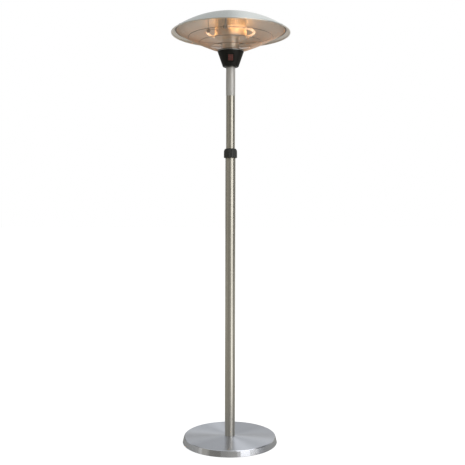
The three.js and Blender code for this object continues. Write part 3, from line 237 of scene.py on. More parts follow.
class Finish:
    """A material, or the world, built from nodes."""

    def __init__(self, owner):
        owner.use_nodes = True
        self.owner = owner
        self.tree = owner.node_tree
        self.tree.nodes.clear()

    def feed(self, socket, value):
        if isinstance(value, Value):
            self.tree.links.new(value.socket, socket)
        else:
            socket.default_value = value

    def node(self, kind, settings=None, output=0, **values):
        """Any other node: its type, its settings, then its sockets' values or links.

        A socket is named in lower case with _ for a space, or as in_0, in_1 and so on.
        """
        node = self.tree.nodes.new("ShaderNode" + kind)
        for name, setting in (settings or {}).items():
            if name == "stops":
                self._stops(node.color_ramp.elements, setting)
            else:
                setattr(node, name, setting)
        for name, value in values.items():
            if name.startswith("in_"):
                socket = node.inputs[int(name[3:])]
            else:
                socket = next(s for s in node.inputs
                              if s.enabled and s.name.lower().replace(" ", "_") == name)
            self.feed(socket, value)
        return Value(self, node.outputs[output]) if node.outputs else node

    def _stops(self, elements, stops):
        while len(elements) < len(stops):
            elements.new(1.0)
        for element, (place, shade) in zip(elements, stops):
            element.position = place
            element.color = (*shade, 1.0) if len(shade) == 3 else shade

    # The patterns that most finishes share

    def place(self):
        return self.node("TexCoord", output=3)

    def parts(self, vector):
        split = self.tree.nodes.new("ShaderNodeSeparateXYZ")
        self.feed(split.inputs[0], vector)
        return [Value(self, out) for out in split.outputs]

    def around(self):
        """Radius, angle in turns and height of a point about the pole's axis."""
        x, y, z = self.parts(self.place())
        radius = (x * x + y * y) ** 0.5
        angle = x.maths("ARCTAN2", y, x) / FULL_TURN
        return radius, angle, z

    def vector(self, x, y, z):
        return self.node("CombineXYZ", x=x, y=y, z=z)

    def cloud(self, scale, detail=3.0, roughness=0.5):
        """Noise with this many patches in a metre."""
        return self.node("TexNoise", vector=self.place(), scale=scale, detail=detail,
                         roughness=roughness)

    def marks(self, x, y, z=0.0, detail=3.0):
        """Noise drawn out into marks: it changes with three values, and faster with large ones."""
        return self.node("TexNoise", vector=self.vector(x, y, z), scale=1.0, detail=detail,
                         roughness=0.5)

    def ramp(self, value, *stops):
        return self.node("ValToRGB", {"stops": stops}, fac=value)

    def spread(self, value, start, end, new_start, new_end):
        """Maps a value's range to another one, and holds it there."""
        return self.node("MapRange", in_0=value, in_1=start, in_2=end, in_3=new_start,
                         in_4=new_end)

    def blend(self, share, first, second):
        """Mixes two colours."""
        node = self.tree.nodes.new("ShaderNodeMix")
        node.data_type = "RGBA"
        self.feed(node.inputs[0], share)
        self.feed(node.inputs[6], first if isinstance(first, Value) else (*first, 1.0))
        self.feed(node.inputs[7], second if isinstance(second, Value) else (*second, 1.0))
        return Value(self, node.outputs[2])

    def shaded(self, tint, brightness):
        """A plain colour, made darker or lighter by a value about 1."""
        x, y, z = (brightness * part for part in tint)
        return self.node("CombineColor", red=x, green=y, blue=z)

    def bump(self, height, strength, depth):
        """Relief whose deepest point, in millimetres, is the depth."""
        return self.node("Bump", height=height, strength=strength, distance=depth * MM)

    def rays(self):
        """Whether a ray comes from the camera, and whether from a shiny or clear surface."""
        paths = self.tree.nodes.new("ShaderNodeLightPath").outputs
        camera, glossy, through = (Value(self, paths[f"Is {kind} Ray"])
                                   for kind in ("Camera", "Glossy", "Transmission"))
        mirror = glossy + through
        return camera, mirror.maths("MINIMUM", mirror, 1.0)

    def surface(self, **sockets):
        shader = self.node("BsdfPrincipled", **sockets)
        self.node("OutputMaterial", surface=shader)
        return self.owner

    def metal(self, tint, roughness, normal, spread=0.0):
        """Bare metal, whose polishing marks spread the highlights along the pole."""
        upright = {"anisotropic": spread, "anisotropic_rotation": SPREAD_UPRIGHT}
        return self.surface(base_color=tint, metallic=1.0, roughness=roughness, normal=normal,
                            **(upright if spread else {}))


FINISHES = {}


def finish(make):
    """Keeps a material made once, under its function's name."""
    def kept():
        name = make.__name__
        if name not in FINISHES:
            FINISHES[name] = make(Finish(bpy.data.materials.new(name)))
        return FINISHES[name]
    return kept


# ---- finishes

@finish
def brushed_tube(f):
    """Steel tube polished round and round, with fine scratches along it."""
    _, angle, height = f.around()
    rings = f.marks(angle * 6.0, height * 2600.0, detail=2.0)
    long_marks = f.marks(angle * 420.0, height * 3.0, detail=4.0)
    smudge = f.marks(angle * 9.0, height * 7.0, 3.0)
    tone = 0.94 + rings * 0.05 + long_marks * 0.07
    rough = 0.25 + rings * 0.05 + smudge * 0.06
    relief = f.bump(rings * 0.7 + long_marks * 0.3, 0.06, 0.1)
    return f.metal(f.shaded(colours().steel, tone), rough, relief, 0.95)


@finish
def brushed_cover(f):
    """Steel sheet brushed in circles: a soft flat top, darkened by painted shade, and a brighter
    side.
    """
    radius, angle, height = f.around()
    fine = f.marks(radius * 5200.0, angle * 5.0, height * 4000.0)
    broad = f.marks(radius * 900.0, angle * 3.0, detail=2.0)
    smudge = f.cloud(9.0, 4.0)
    flat = height.above(high("base_cover").z - 1.5 * MM)
    # The flat top's lower tone is painted shade; its higher roughness is the real finish.
    tone = 0.88 + fine * 0.12 + broad * 0.08 - flat * 0.15
    rough = 0.10 + flat * 0.19 + fine * 0.04 + smudge * 0.04
    return f.metal(f.shaded(colours().cover, tone), rough, f.bump(fine, 0.10, 0.03), 1.0)


@finish
def reflector_sheet(f):
    """Spun sheet: satin outside, bright inside, with faint rings from the spinning."""
    x, y, z = f.parts(f.place())
    deep = z - sphere_centre()
    reach = (x * x + y * y + deep * deep) ** 0.5
    s = sizes()
    outside = reach.above(s.dome_sphere - s.dome_sheet * 0.5)
    radius, angle, _ = f.around()
    rings = f.marks(radius * 1500.0, angle * 2.0, detail=2.0)
    broad = f.marks(radius * 220.0, angle * 1.5, detail=1.0)
    smudge = f.cloud(14.0, 4.0)
    satin = f.shaded(colours().silver, 0.95 + rings * 0.06)
    bright = f.shaded(colours().bright, 0.93 + rings * 0.04 + smudge * 0.05)
    rough_out = 0.20 + rings * 0.06 + smudge * 0.05
    rough_in = 0.44 + rings * 0.06 + smudge * 0.06
    rough = rough_in + (rough_out - rough_in) * outside
    relief = f.bump(rings * 0.3 + broad, 0.07, 0.8)
    return f.metal(f.blend(outside, bright, satin), rough, relief, 0.85)


@finish
def satin_sheet(f):
    """The lid's silver sheet with a soft upright grain."""
    radius, angle, height = f.around()
    grain = f.marks(angle * 300.0, height * 8.0, radius * 900.0)
    rough = 0.22 + grain * 0.10 + f.cloud(22.0) * 0.08
    return f.metal(f.shaded(colours().silver, 0.90 + grain * 0.12), rough,
                   f.bump(grain, 0.05, 0.3))


@finish
def column_sheet(f):
    """The column's bright sheet, polished round and round."""
    _, angle, height = f.around()
    marks = f.marks(angle * 12.0, height * 1400.0)
    rough = 0.28 + marks * 0.06 + f.cloud(22.0) * 0.06
    return f.metal(f.shaded(colours().bright, 0.90 + marks * 0.10), rough,
                   f.bump(marks, 0.04, 0.1), 0.9)


@finish
def bright_sheet(f):
    """Polished lamp drum with faint polishing marks and patches of heat tint."""
    radius, angle, height = f.around()
    marks = f.marks(angle * 20.0, height * 900.0, radius * 900.0)
    cloud = f.cloud(18.0, 4.0)
    heat = f.spread(cloud, 0.35, 0.75, 0.15, 0.65)
    clean = f.shaded(colours().bright, 0.92 + marks * 0.08)
    rough = 0.43 + marks * 0.08 + cloud * 0.06
    return f.metal(f.blend(heat, clean, (0.88, 0.72, 0.50)), rough,
                   f.bump(marks, 0.04, 0.3), 0.75)


@finish
def zinc_plate(f):
    """Zinc plating: crystal patches of slightly different shine."""
    cells = f.node("TexVoronoi", output=1, vector=f.place(), scale=700.0)
    patch = f.parts(cells)[0]
    cloud = f.cloud(160.0, 4.0)
    return f.metal(f.shaded(colours().zinc, 0.82 + patch * 0.16 + cloud * 0.12),
                   0.30 + patch * 0.14 + cloud * 0.10, f.bump(cloud, 0.10, 0.3))


@finish
def grille_plating(f):
    """Nickel-plated wire, browned where it runs hot; its warm colour is partly painted glow of the
    lamp.
    """
    # The wire colour is partly painted lamp glow.
    return plated_wire(f, colours().wire, (0.86, 0.60, 0.43))


@finish
def ring_plating_painted_shade(f):
    """The same plating on the thick wires, painted dark as shade on the hoop and rings."""
    # Both colours are dark: painted shade where the hoop meets the reflector, carried onto the
    # rings.
    return plated_wire(f, (0.26, 0.22, 0.20), (0.22, 0.16, 0.13))


def plated_wire(f, tint, burnt):
    radius, _, _ = f.around()
    cloud, fine = f.cloud(60.0, 4.0), f.cloud(900.0)
    heat = f.spread(radius, 0.08, 0.24, 0.9, 0.25) * f.spread(cloud, 0.3, 0.7, 0.5, 1.0)
    cool = f.shaded(tint, 0.90 + fine * 0.2)
    return f.metal(f.blend(heat, cool, burnt), 0.36 + fine * 0.16, f.bump(fine, 0.08, 0.2))


def moulded(f, tint, roughness, grain=1700.0, depth=0.12, shine=0.2):
    """Moulded plastic: fine spark-eroded grain and a slow change of shine."""
    pores, cloud = f.cloud(grain, 3.0, 0.6), f.cloud(30.0)
    return f.surface(
        base_color=f.shaded(tint, 0.85 + pores * 0.18 + cloud * 0.14),
        roughness=roughness - 0.08 + pores * 0.12 + cloud * 0.08,
        specular_ior_level=shine, normal=f.bump(pores, depth, 0.2))


@finish
def black_plastic(f):
    return moulded(f, colours().black, 0.42)


@finish
def grip_plastic(f):
    return moulded(f, colours().grip, 0.45, 1200.0, 0.2, 0.6)


@finish
def gloss_black_plastic(f):
    return moulded(f, colours().black, 0.24, 2400.0, 0.04)


@finish
def grey_plastic(f):
    return moulded(f, colours().grey, 0.55)


@finish
def red_plastic(f):
    """Glossy rocker plastic, darker in patches."""
    cloud, pores = f.cloud(90.0), f.cloud(2600.0, 2.0)
    return f.surface(
        base_color=f.shaded(colours().red, 0.75 + cloud * 0.5),
        roughness=0.16 + pores * 0.10 + cloud * 0.06, coat_weight=0.4,
        coat_roughness=0.08, normal=f.bump(pores, 0.04, 0.1))


@finish
def label_film(f):
    """Blank metallised film, with a faint lengthwise grain."""
    _, angle, height = f.around()
    grain = f.marks(angle * 260.0, height * 30.0)
    cloud = f.cloud(40.0)
    return f.surface(
        base_color=f.shaded(colours().label, 0.93 + grain * 0.10),
        metallic=0.30, roughness=0.27 + grain * 0.08 + cloud * 0.10,
        normal=f.bump(grain, 0.04, 0.2))


@finish
def concrete(f):
    """Cast ballast: sandy grain and small air holes."""
    sand, cloud = f.cloud(1500.0, 4.0, 0.7), f.cloud(26.0, 5.0)
    holes = f.node("TexVoronoi", vector=f.place(), scale=160.0)
    pit = f.spread(holes, 0.06, 0.16, 0.0, 1.0)
    tone = (0.70 + cloud * 0.35 + sand * 0.30) * (0.55 + pit * 0.45)
    return f.surface(
        base_color=f.shaded(colours().concrete, tone),
        roughness=0.90 + sand * 0.08,
        normal=f.bump(sand * 0.4 + pit, 0.5, 0.6))


@finish
def rubber(f):
    """Matt rubber with a dusty bloom."""
    grain = f.cloud(1400.0, 4.0, 0.6)
    dust = f.spread(f.cloud(60.0, 4.0), 0.45, 0.80, 0.0, 0.35)
    return f.surface(
        base_color=f.blend(dust, f.shaded(colours().rubber, 0.8 + grain * 0.4),
                           (0.10, 0.095, 0.085)),
        roughness=0.78 + grain * 0.15, normal=f.bump(grain, 0.25, 0.3))


@finish
def ceramic(f):
    """Unglazed steatite with a fine grain and patches of soot."""
    grain = f.cloud(1100.0, 4.0, 0.6)
    soot = f.spread(f.cloud(130.0, 4.0), 0.50, 0.85, 0.0, 0.45)
    return f.surface(
        base_color=f.blend(soot, f.shaded(colours().ceramic, 0.88 + grain * 0.2),
                           (0.24, 0.19, 0.15)),
        roughness=0.62 + grain * 0.2, normal=f.bump(grain, 0.2, 0.3))


@finish
def lead_sleeve(f):
    """Braided glass-fibre sleeve: two crossing sets of strands."""
    x, y, z = f.parts(f.place())
    one = ((x + y + z) * 4200.0).sine() * 0.5 + 0.5
    two = ((x + y - z) * 4200.0).sine() * 0.5 + 0.5
    braid = one.maths("MAXIMUM", one, two)
    fluff = f.cloud(900.0)
    return f.surface(
        base_color=f.shaded(colours().sleeve, 0.55 + braid * 0.4 + fluff * 0.15),
        roughness=0.82 + fluff * 0.1, normal=f.bump(braid, 0.5, 0.3))


@finish
def quartz_glass(f):
    """Clear lamp glass, faintly warm, seen through, with a painted glow."""
    cloud = f.cloud(70.0)
    haze = f.spread(cloud, 0.35, 0.75, 0.0, 1.0)
    # The glass's emission is painted glow: the coil's light shown in the glass.
    return f.surface(
        base_color=f.shaded(colours().quartz, 0.95 + cloud * 0.05),
        roughness=0.03 + haze * 0.05, ior=1.46, alpha=0.26 + haze * 0.08,
        emission_color=f.shaded(colours().glow, 0.8 + cloud * 0.4),
        emission_strength=0.15)


@finish
def hot_coil(f):
    """Glowing coil, a little hotter in patches."""
    hot = f.spread(f.cloud(45.0, 2.0), 0.30, 0.70, 0.0, 1.0)
    return f.surface(
        base_color=(0.30, 0.12, 0.05, 1.0), roughness=0.5,
        emission_color=f.blend(hot, (1.0, 0.64, 0.38), (1.0, 0.76, 0.54)),
        emission_strength=3.2)


# ---- mesh making

def bevel(bm, geom, width, segments, affect="EDGES", **more):
    """Rounds edges, or the corners of a wire, off."""
    bmesh.ops.bevel(bm, geom=geom, offset=width, offset_type="OFFSET", segments=segments,
                    profile=0.5, affect=affect, material=-1, **more)


def move(bm, by):
    bmesh.ops.translate(bm, vec=by, verts=bm.verts)


def rotate(bm, angle, axis):
    """Turns a shape about an axis through the origin, by an angle in radians."""
    bmesh.ops.rotate(bm, cent=(0, 0, 0), verts=bm.verts,
                     matrix=Matrix.Rotation(angle, 3, axis))


def reshape(bm, matrix):
    bmesh.ops.transform(bm, matrix=matrix, verts=bm.verts)


def upright_circle(bm, radius, sides):
    """A wire circle about the origin, in the plane y = 0."""
    bmesh.ops.create_circle(bm, segments=sides, radius=radius,
                            matrix=Matrix.Rotation(QUARTER_TURN, 4, "X"))


def wire_from(points, rounded=(), steps=4, loop=True):
    """A bmesh with one wire through [radius, height] points in the plane y = 0.

    rounded lists (which points, radius) pairs whose corners become arcs.
    """
    bm = bmesh.new()
    verts = [bm.verts.new((r, 0.0, z)) for r, z in points]
    pairs = list(zip(verts, verts[1:] + verts[:1]))
    for pair in pairs if loop else pairs[:-1]:
        bm.edges.new(pair)
    for which, corner in rounded:
        bevel(bm, [verts[i] for i in which], corner, steps, "VERTICES")
    return bm


def spin_round(bm, steps):
    """Turns a wire about the pole's axis into a closed surface with its faces outwards."""
    bmesh.ops.spin(bm, geom=bm.verts[:] + bm.edges[:], cent=(0, 0, 0), axis=(0, 0, 1),
                   angle=FULL_TURN, steps=steps, use_merge=True)
    bmesh.ops.remove_doubles(bm, verts=bm.verts, dist=1e-7)
    bmesh.ops.dissolve_degenerate(bm, edges=bm.edges, dist=1e-8)
    bmesh.ops.recalc_face_normals(bm, faces=bm.faces)
    return bm


def turned(points, rounded=(), steps=None, segments=4, loop=True):
    return spin_round(wire_from(points, rounded, segments, loop), steps or sizes().tube_steps)


def tube_profile(inner, outer, bottom, top):
    return [(inner, bottom), (outer, bottom), (outer, top), (inner, top)]


def arc_points(radius, height, size, start, end, steps):
    """Points on an arc, angles in degrees from the radial direction."""
    turn = [math.radians(start + (end - start) * k / steps) for k in range(steps + 1)]
    return [(radius + size * math.cos(a), height + size * math.sin(a)) for a in turn]


def on_circle(radius, degrees, height):
    angle = math.radians(degrees)
    return Vector((radius * math.cos(angle), radius * math.sin(angle), height))


def block(width, depth, height):
    bm = bmesh.new()
    bmesh.ops.create_cube(bm, size=1.0)
    bmesh.ops.scale(bm, vec=(width, depth, height), verts=bm.verts)
    return bm


def rounded_edges(bm, width, segments=3, angle=30):
    """Bevels each edge whose faces turn by more than an angle."""
    sharp = [e for e in bm.edges
             if e.is_manifold and e.calc_face_angle(0.0) > math.radians(angle)]
    bevel(bm, sharp, width, segments, clamp_overlap=True)
    return bm


def add_piece(name, bm, material, body, slot, *stands_for, sharp=40):
    """Turns a bmesh into a piece that rides on a body, and hides the nodes that it stands for."""
    mesh = bpy.data.meshes.new(name)
    bm.to_mesh(mesh)
    bm.free()
    mesh.shade_smooth()
    mesh.set_sharp_from_angle(angle=math.radians(sharp))
    mesh.materials.append(material)
    piece = bpy.data.objects.new(name, mesh)
    bpy.context.scene.collection.objects.link(piece)
    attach(piece, body)
    if stands_for:
        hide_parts(*stands_for)
    return piece


def carve(bm, tools, operation="DIFFERENCE"):
    """A bmesh joined with, or less, some others."""
    def temporary(source):
        mesh = bpy.data.meshes.new("shape")
        source.to_mesh(mesh)
        source.free()
        shape = bpy.data.objects.new("shape", mesh)
        bpy.context.scene.collection.objects.link(shape)
        return shape

    body = temporary(bm)
    helpers = [temporary(tool) for tool in tools]
    for helper in helpers:
        change = body.modifiers.new("change", "BOOLEAN")
        change.operation = operation
        change.solver = "EXACT"
        change.object = helper
    bpy.context.view_layer.update()
    changed = body.evaluated_get(bpy.context.evaluated_depsgraph_get())
    result = bmesh.new()
    result.from_mesh(changed.to_mesh())
    changed.to_mesh_clear()
    for shape in [body] + helpers:
        mesh = shape.data
        bpy.data.objects.remove(shape)
        bpy.data.meshes.remove(mesh)
    bmesh.ops.remove_doubles(result, verts=result.verts, dist=1e-7)
    return result


def refined(node, width, segments=2):
    """A merged copy of a node's solid with its flat faces joined and its edges rounded."""
    bm = bmesh.new()
    bm.from_mesh(NODES[node].data)
    bmesh.ops.remove_doubles(bm, verts=bm.verts, dist=1e-6)
    bmesh.ops.dissolve_limit(bm, angle_limit=math.radians(2), verts=bm.verts,
                             edges=bm.edges, use_dissolve_boundaries=False)
    return rounded_edges(bm, width, segments, 25)


def turn_to(bm, direction, place):
    """Turns a shape made along +Z to a direction and puts its origin at a place."""
    turn = Vector((0, 0, 1)).rotation_difference(Vector(direction).normalized())
    matrix = Matrix.Translation(place) @ turn.to_matrix().to_4x4()
    reshape(bm, matrix)
    return bm


def screw_head(radius, height, shank_radius, shank):
    """A domed head with a crossed recess, standing on z = 0, over its shank."""
    head = turned(
        [(0, -shank), (shank_radius, -shank), (shank_radius, 0), (radius, 0),
         (radius, height * 0.35), (radius * 0.72, height * 0.85), (radius * 0.3, height),
         (0, height)],
        [((4, 5, 6), height * 0.3)], steps=32, loop=False)
    slots = []
    for turn in (0, 90):
        slot = block(radius * 1.05, radius * 0.22, height)
        rotate(slot, math.radians(turn), "Z")
        move(slot, (0, 0, height * 1.05))
        slots.append(slot)
    return carve(head, slots)


# ---- the reflector's sphere

def sphere_centre():
    """Height of the centre of the reflector's sphere, which lies below its top."""
    return high("reflector").z - sizes().dome_sphere


def under_dome(radius, depth=None):
    """Height of the reflector's inner face at a radius."""
    s = sizes()
    inner = s.dome_sphere - (s.dome_sheet if depth is None else depth)
    return sphere_centre() + math.sqrt(inner * inner - radius * radius)


# ---- operators

class HEATER_OT_base(bpy.types.Operator):
    """The cover of the round base, and its feet"""
    bl_idname = "heater.base"
    bl_label = "Base"

    def execute(self, context):
        s = sizes()
        sheet, edge = s.thin_sheet, s.cover_edge
        rim, top = low("base_cover").z, high("base_cover").z
        outer = radius_of("base_cover")
        lean = math.atan2(COVER_SLANT, top - edge - rim)
        tilt = math.degrees(lean)
        hem = Vector((outer, rim + 0.6 * MM))
        rise = top - edge * (1 - math.sin(lean)) - hem.y
        brow = hem + Vector((-rise * math.tan(lean), rise))
        centre = (brow.x - edge * math.cos(lean), top - edge)
        # Points close to its ends keep the straight side's shading straight
        side = [tuple(hem.lerp(brow, share)) for share in (0, 0.06, 0.94)]
        add_piece("base_cover_skin", turned(
            [(COVER_HOLE, top - sheet)]
            + arc_points(*centre, edge - sheet, 90, tilt, 8)
            + [(outer - sheet, hem.y), (outer - sheet * 0.5, rim)] + side
            + arc_points(*centre, edge, tilt, 90, 8)
            + [(centre[0] - 4 * MM, top), (COVER_HOLE, top)],
            steps=s.large_steps), brushed_cover(), "stand", "brushed_steel", "base_cover")

        for k in range(1, 5):
            node = f"rubber_foot_{k}"
            at = middle(node)
            radius, tall = high(node).x - at.x, high(node).z
            chamfer, groove = 1.2 * MM, 1.0 * MM
            foot = turned(
                [(0, 0), (radius - chamfer, 0), (radius, chamfer), (radius, tall * 0.45),
                 (radius - groove, tall * 0.55), (radius, tall * 0.65), (radius, tall),
                 (0, tall)],
                [((1, 2, 3, 4, 5), 0.4 * MM)], steps=48, segments=2, loop=False)
            move(foot, (at.x, at.y, 0))
            add_piece(f"foot_pad_{k}", foot, rubber(), "stand", "rubber", node)
        return {"FINISHED"}


class HEATER_OT_pole(bpy.types.Operator):
    """The two tubes of the pole, the blank label and the rear cable gland"""
    bl_idname = "heater.pole"
    bl_label = "Pole"

    def execute(self, context):
        for name, node, body in (("lower_tube_skin", "lower_tube", "stand"),
                                 ("upper_tube_skin", "upper_tube", "head")):
            outer = radius_of(node)
            profile = tube_profile(outer - TUBE_WALL, outer, low(node).z, high(node).z)
            add_piece(name, turned(profile, [((0, 1, 2, 3), 0.35 * MM)], segments=2),
                      brushed_tube(), body, "brushed_steel", node)

        outer = radius_of("label_film")
        bottom, top = low("label_film").z, high("label_film").z
        profile = tube_profile(outer - LABEL_FILM, outer, bottom, top)
        add_piece("label_sleeve", turned(profile, [((1, 2), 0.12 * MM)], segments=2),
                  label_film(), "head", "label_film", "label_film")

        node = "cable_gland"
        depth = high(node).y - low(node).y
        flange = (high(node).x - low(node).x) / 2
        neck, bore = 6.7 * MM, 4.2 * MM
        shoulder = depth - 3 * MM
        gland = turned(
            [(bore, 0), (neck, 0), (neck, shoulder), (flange, shoulder),
             (flange, shoulder + 1.2 * MM), (flange - 1 * MM, depth), (bore + 0.8 * MM, depth)],
            [((3, 4, 5), 0.4 * MM)], steps=64, segments=2)
        turn_to(gland, (0, 1, 0), (0, low(node).y, middle(node).z))
        add_piece("cable_gland_ring", gland, rubber(), "stand", "rubber", node)
        return {"FINISHED"}


class HEATER_OT_clamp(bpy.types.Operator):
    """The clamp collar with its grip lobes, and the socket that it turns on"""
    bl_idname = "heater.clamp"
    bl_label = "Clamp collar"

    def execute(self, context):
        s = sizes()
        bottom, top = low("clamp_nut").z, high("clamp_nut").z
        outer = radius_of("clamp_nut")
        bore, crown = 29.3 * MM, 24 * MM
        crown_start = top - 19 * MM
        neck, ceiling = 22.85 * MM, top - 6.7 * MM
        rise = [(crown + (outer - crown) * math.cos(math.radians(a)),
                 crown_start + (top - crown_start) * math.sin(math.radians(a)))
                for a in range(0, 91, 9)]
        nut = turned(
            [(bore, bottom), (outer - 1.5 * MM, bottom), (outer, bottom + 1.5 * MM)]
            + [(outer, bottom + (crown_start - bottom) * k / 5) for k in range(1, 5)]
            + rise + [(neck, top), (neck, ceiling), (bore, ceiling)],
            [((1, 2), 0.5 * MM)], steps=s.nut_lobes * 24)
        floor = bore + s.nut_lobe_depth * 0.5
        for vert in nut.verts:
            reach = math.hypot(vert.co.x, vert.co.y)
            if reach > floor:
                wave = 0.5 - 0.5 * math.cos(s.nut_lobes * math.atan2(vert.co.y, vert.co.x))
                scale = 1 - s.nut_lobe_depth * wave ** 0.7 / reach
                vert.co.x *= scale
                vert.co.y *= scale
        add_piece("clamp_collar", nut, grip_plastic(), "clamp_nut", "black_plastic",
                  "clamp_nut", sharp=50)

        base, seat = low("tube_socket").z, high("tube_socket").z
        outer, mouth, throat, bore = radius_of("tube_socket"), 27.5 * MM, 24 * MM, 25.7 * MM
        shoulder = seat - 8 * MM
        ledge = shoulder - 1.7 * MM
        socket = turned(
            [(bore, base), (outer, base), (outer, seat), (mouth, seat), (throat, shoulder),
             (throat, ledge), (bore, ledge)],
            [((0, 1, 2), 0.5 * MM)], segments=3)
        add_piece("tube_socket_ring", socket, black_plastic(), "stand", "black_plastic",
                  "tube_socket")
        return {"FINISHED"}


class HEATER_OT_housing(bpy.types.Operator):
    """The black housing under the head, and its silver lid"""
    bl_idname = "heater.housing"
    bl_label = "Housing"

    def execute(self, context):
        s = sizes()
        bottom, top = low("housing").z, high("housing").z
        outer = radius_of("housing")
        foot, corner, wall = HOUSING_FOOT, HOUSING_CORNER, HOUSING_WALL
        knee = (foot - wall + 1 * MM, bottom + corner)
        sill = (foot - wall - 3 * MM, bottom + wall)
        shell = turned(
            [(0, bottom), (foot - corner, bottom)]
            + arc_points(foot - corner + 1 * MM, bottom + corner, corner, -80, -10, 7)
            + [(outer, top), (outer - wall, top), knee, sill, (0, bottom + wall)],
            [((10, 11), 0.6 * MM)], steps=s.large_steps, segments=3, loop=False)
        pad_frame = pad_matrix()
        pad = switch_plate(PAD, -PAD[2] / 2, 3 * MM, 0.6 * MM, 3)
        reshape(pad, pad_frame)
        shell = carve(shell, [pad], "UNION")
        room = turned(
            [(0, bottom + wall), sill, knee, (outer - wall, top),
             (outer - wall, top + 5 * MM), (0, top + 5 * MM)],
            steps=s.large_steps, loop=False)
        window = block(*PAD_WINDOW)
        reshape(window, pad_frame)
        hole = turned([(0, bottom - 5 * MM), (TUBE_HOLE, bottom - 5 * MM),
                       (TUBE_HOLE, top), (0, top)], loop=False)
        shell = carve(shell, [room, window, hole])
        add_piece("housing_shell", shell, black_plastic(), "head", "black_plastic", "housing",
                  sharp=35)

        low_z, high_z = low("lid").z, high("lid").z
        profile = tube_profile(30 * MM, radius_of("lid"), low_z, high_z)
        add_piece("lid_plate", turned(profile, [((0, 1, 2, 3), 0.6 * MM)],
                                      steps=s.large_steps, segments=3),
                  satin_sheet(), "head", "silver_sheet", "lid")
        return {"FINISHED"}


def pad_matrix():
    """The switch pad's own axes: X to the right, Y up the sloping wall, Z out of it."""
    slope = HOUSING_SLOPE
    out = Vector((0, -math.cos(slope), -math.sin(slope)))
    up = Vector((0, -math.sin(slope), math.cos(slope)))
    matrix = Matrix((Vector((1, 0, 0)), up, out)).transposed().to_4x4()
    matrix.translation = Vector(PAD_PLACE) + out * PAD_STANDS_OUT
    return matrix


def switch_plate(size, lift, corner, rim, rim_steps):
    """A block with rounded corners and a rounded rim at its front, moved along Z."""
    plate = block(*size)
    upright = [e for e in plate.edges if abs((e.verts[0].co - e.verts[1].co).z) > 1 * MM]
    bevel(plate, upright, corner, 5)
    front = size[2] / 2 - 0.1 * MM
    bevel(plate, [e for e in plate.edges if min(v.co.z for v in e.verts) > front], rim,
          rim_steps)
    move(plate, (0, 0, lift))
    return plate


class HEATER_OT_switch(bpy.types.Operator):
    """The double rocker switch and its bezel"""
    bl_idname = "heater.switch"
    bl_label = "Switch"

    def execute(self, context):
        pad_frame = pad_matrix()
        bezel = switch_plate(BEZEL, 0, 2.5 * MM, 1.1 * MM, 4)
        bezel = carve(bezel, [block(*BEZEL_OPENING)])
        move(bezel, (0, 0, BEZEL_LIFT))
        reshape(bezel, pad_frame)
        add_piece("switch_frame", bezel, gloss_black_plastic(), "head", "black_plastic",
                  "switch_bezel")

        for name, body, side in (("rocker_cap_left", "rocker_left", -1),
                                 ("rocker_cap_right", "rocker_right", 1)):
            rocker = bmesh.new()
            half, end, dip = 14.6 * MM, 4.2 * MM, 2.0 * MM
            outline = [(-half, end)]
            outline += [(half * k / 6, dip + (end - dip) * (k / 6) ** 2) for k in range(-5, 6)]
            outline += [(half, end), (half, -1 * MM), (half * 0.4, -4 * MM),
                        (-half * 0.4, -4 * MM), (-half, -1 * MM)]
            verts = [rocker.verts.new((0, y, z)) for y, z in outline]
            rocker.faces.new(verts)
            made = bmesh.ops.extrude_face_region(rocker, geom=rocker.faces[:])
            moved = [g for g in made["geom"] if isinstance(g, bmesh.types.BMVert)]
            bmesh.ops.translate(rocker, vec=(ROCKER_WIDTH, 0, 0), verts=moved)
            bmesh.ops.recalc_face_normals(rocker, faces=rocker.faces)
            rounded_edges(rocker, 0.55 * MM, 3, 40)
            move(rocker, (side * ROCKER_OFFSET - ROCKER_WIDTH / 2, 0, ROCKER_PIVOT))
            rotate(rocker, ROCKER_TILT, "X")
            move(rocker, (0, 0, -ROCKER_PIVOT))
            reshape(rocker, pad_frame)
            add_piece(name, rocker, red_plastic(), body, "red_plastic", body)
        return {"FINISHED"}


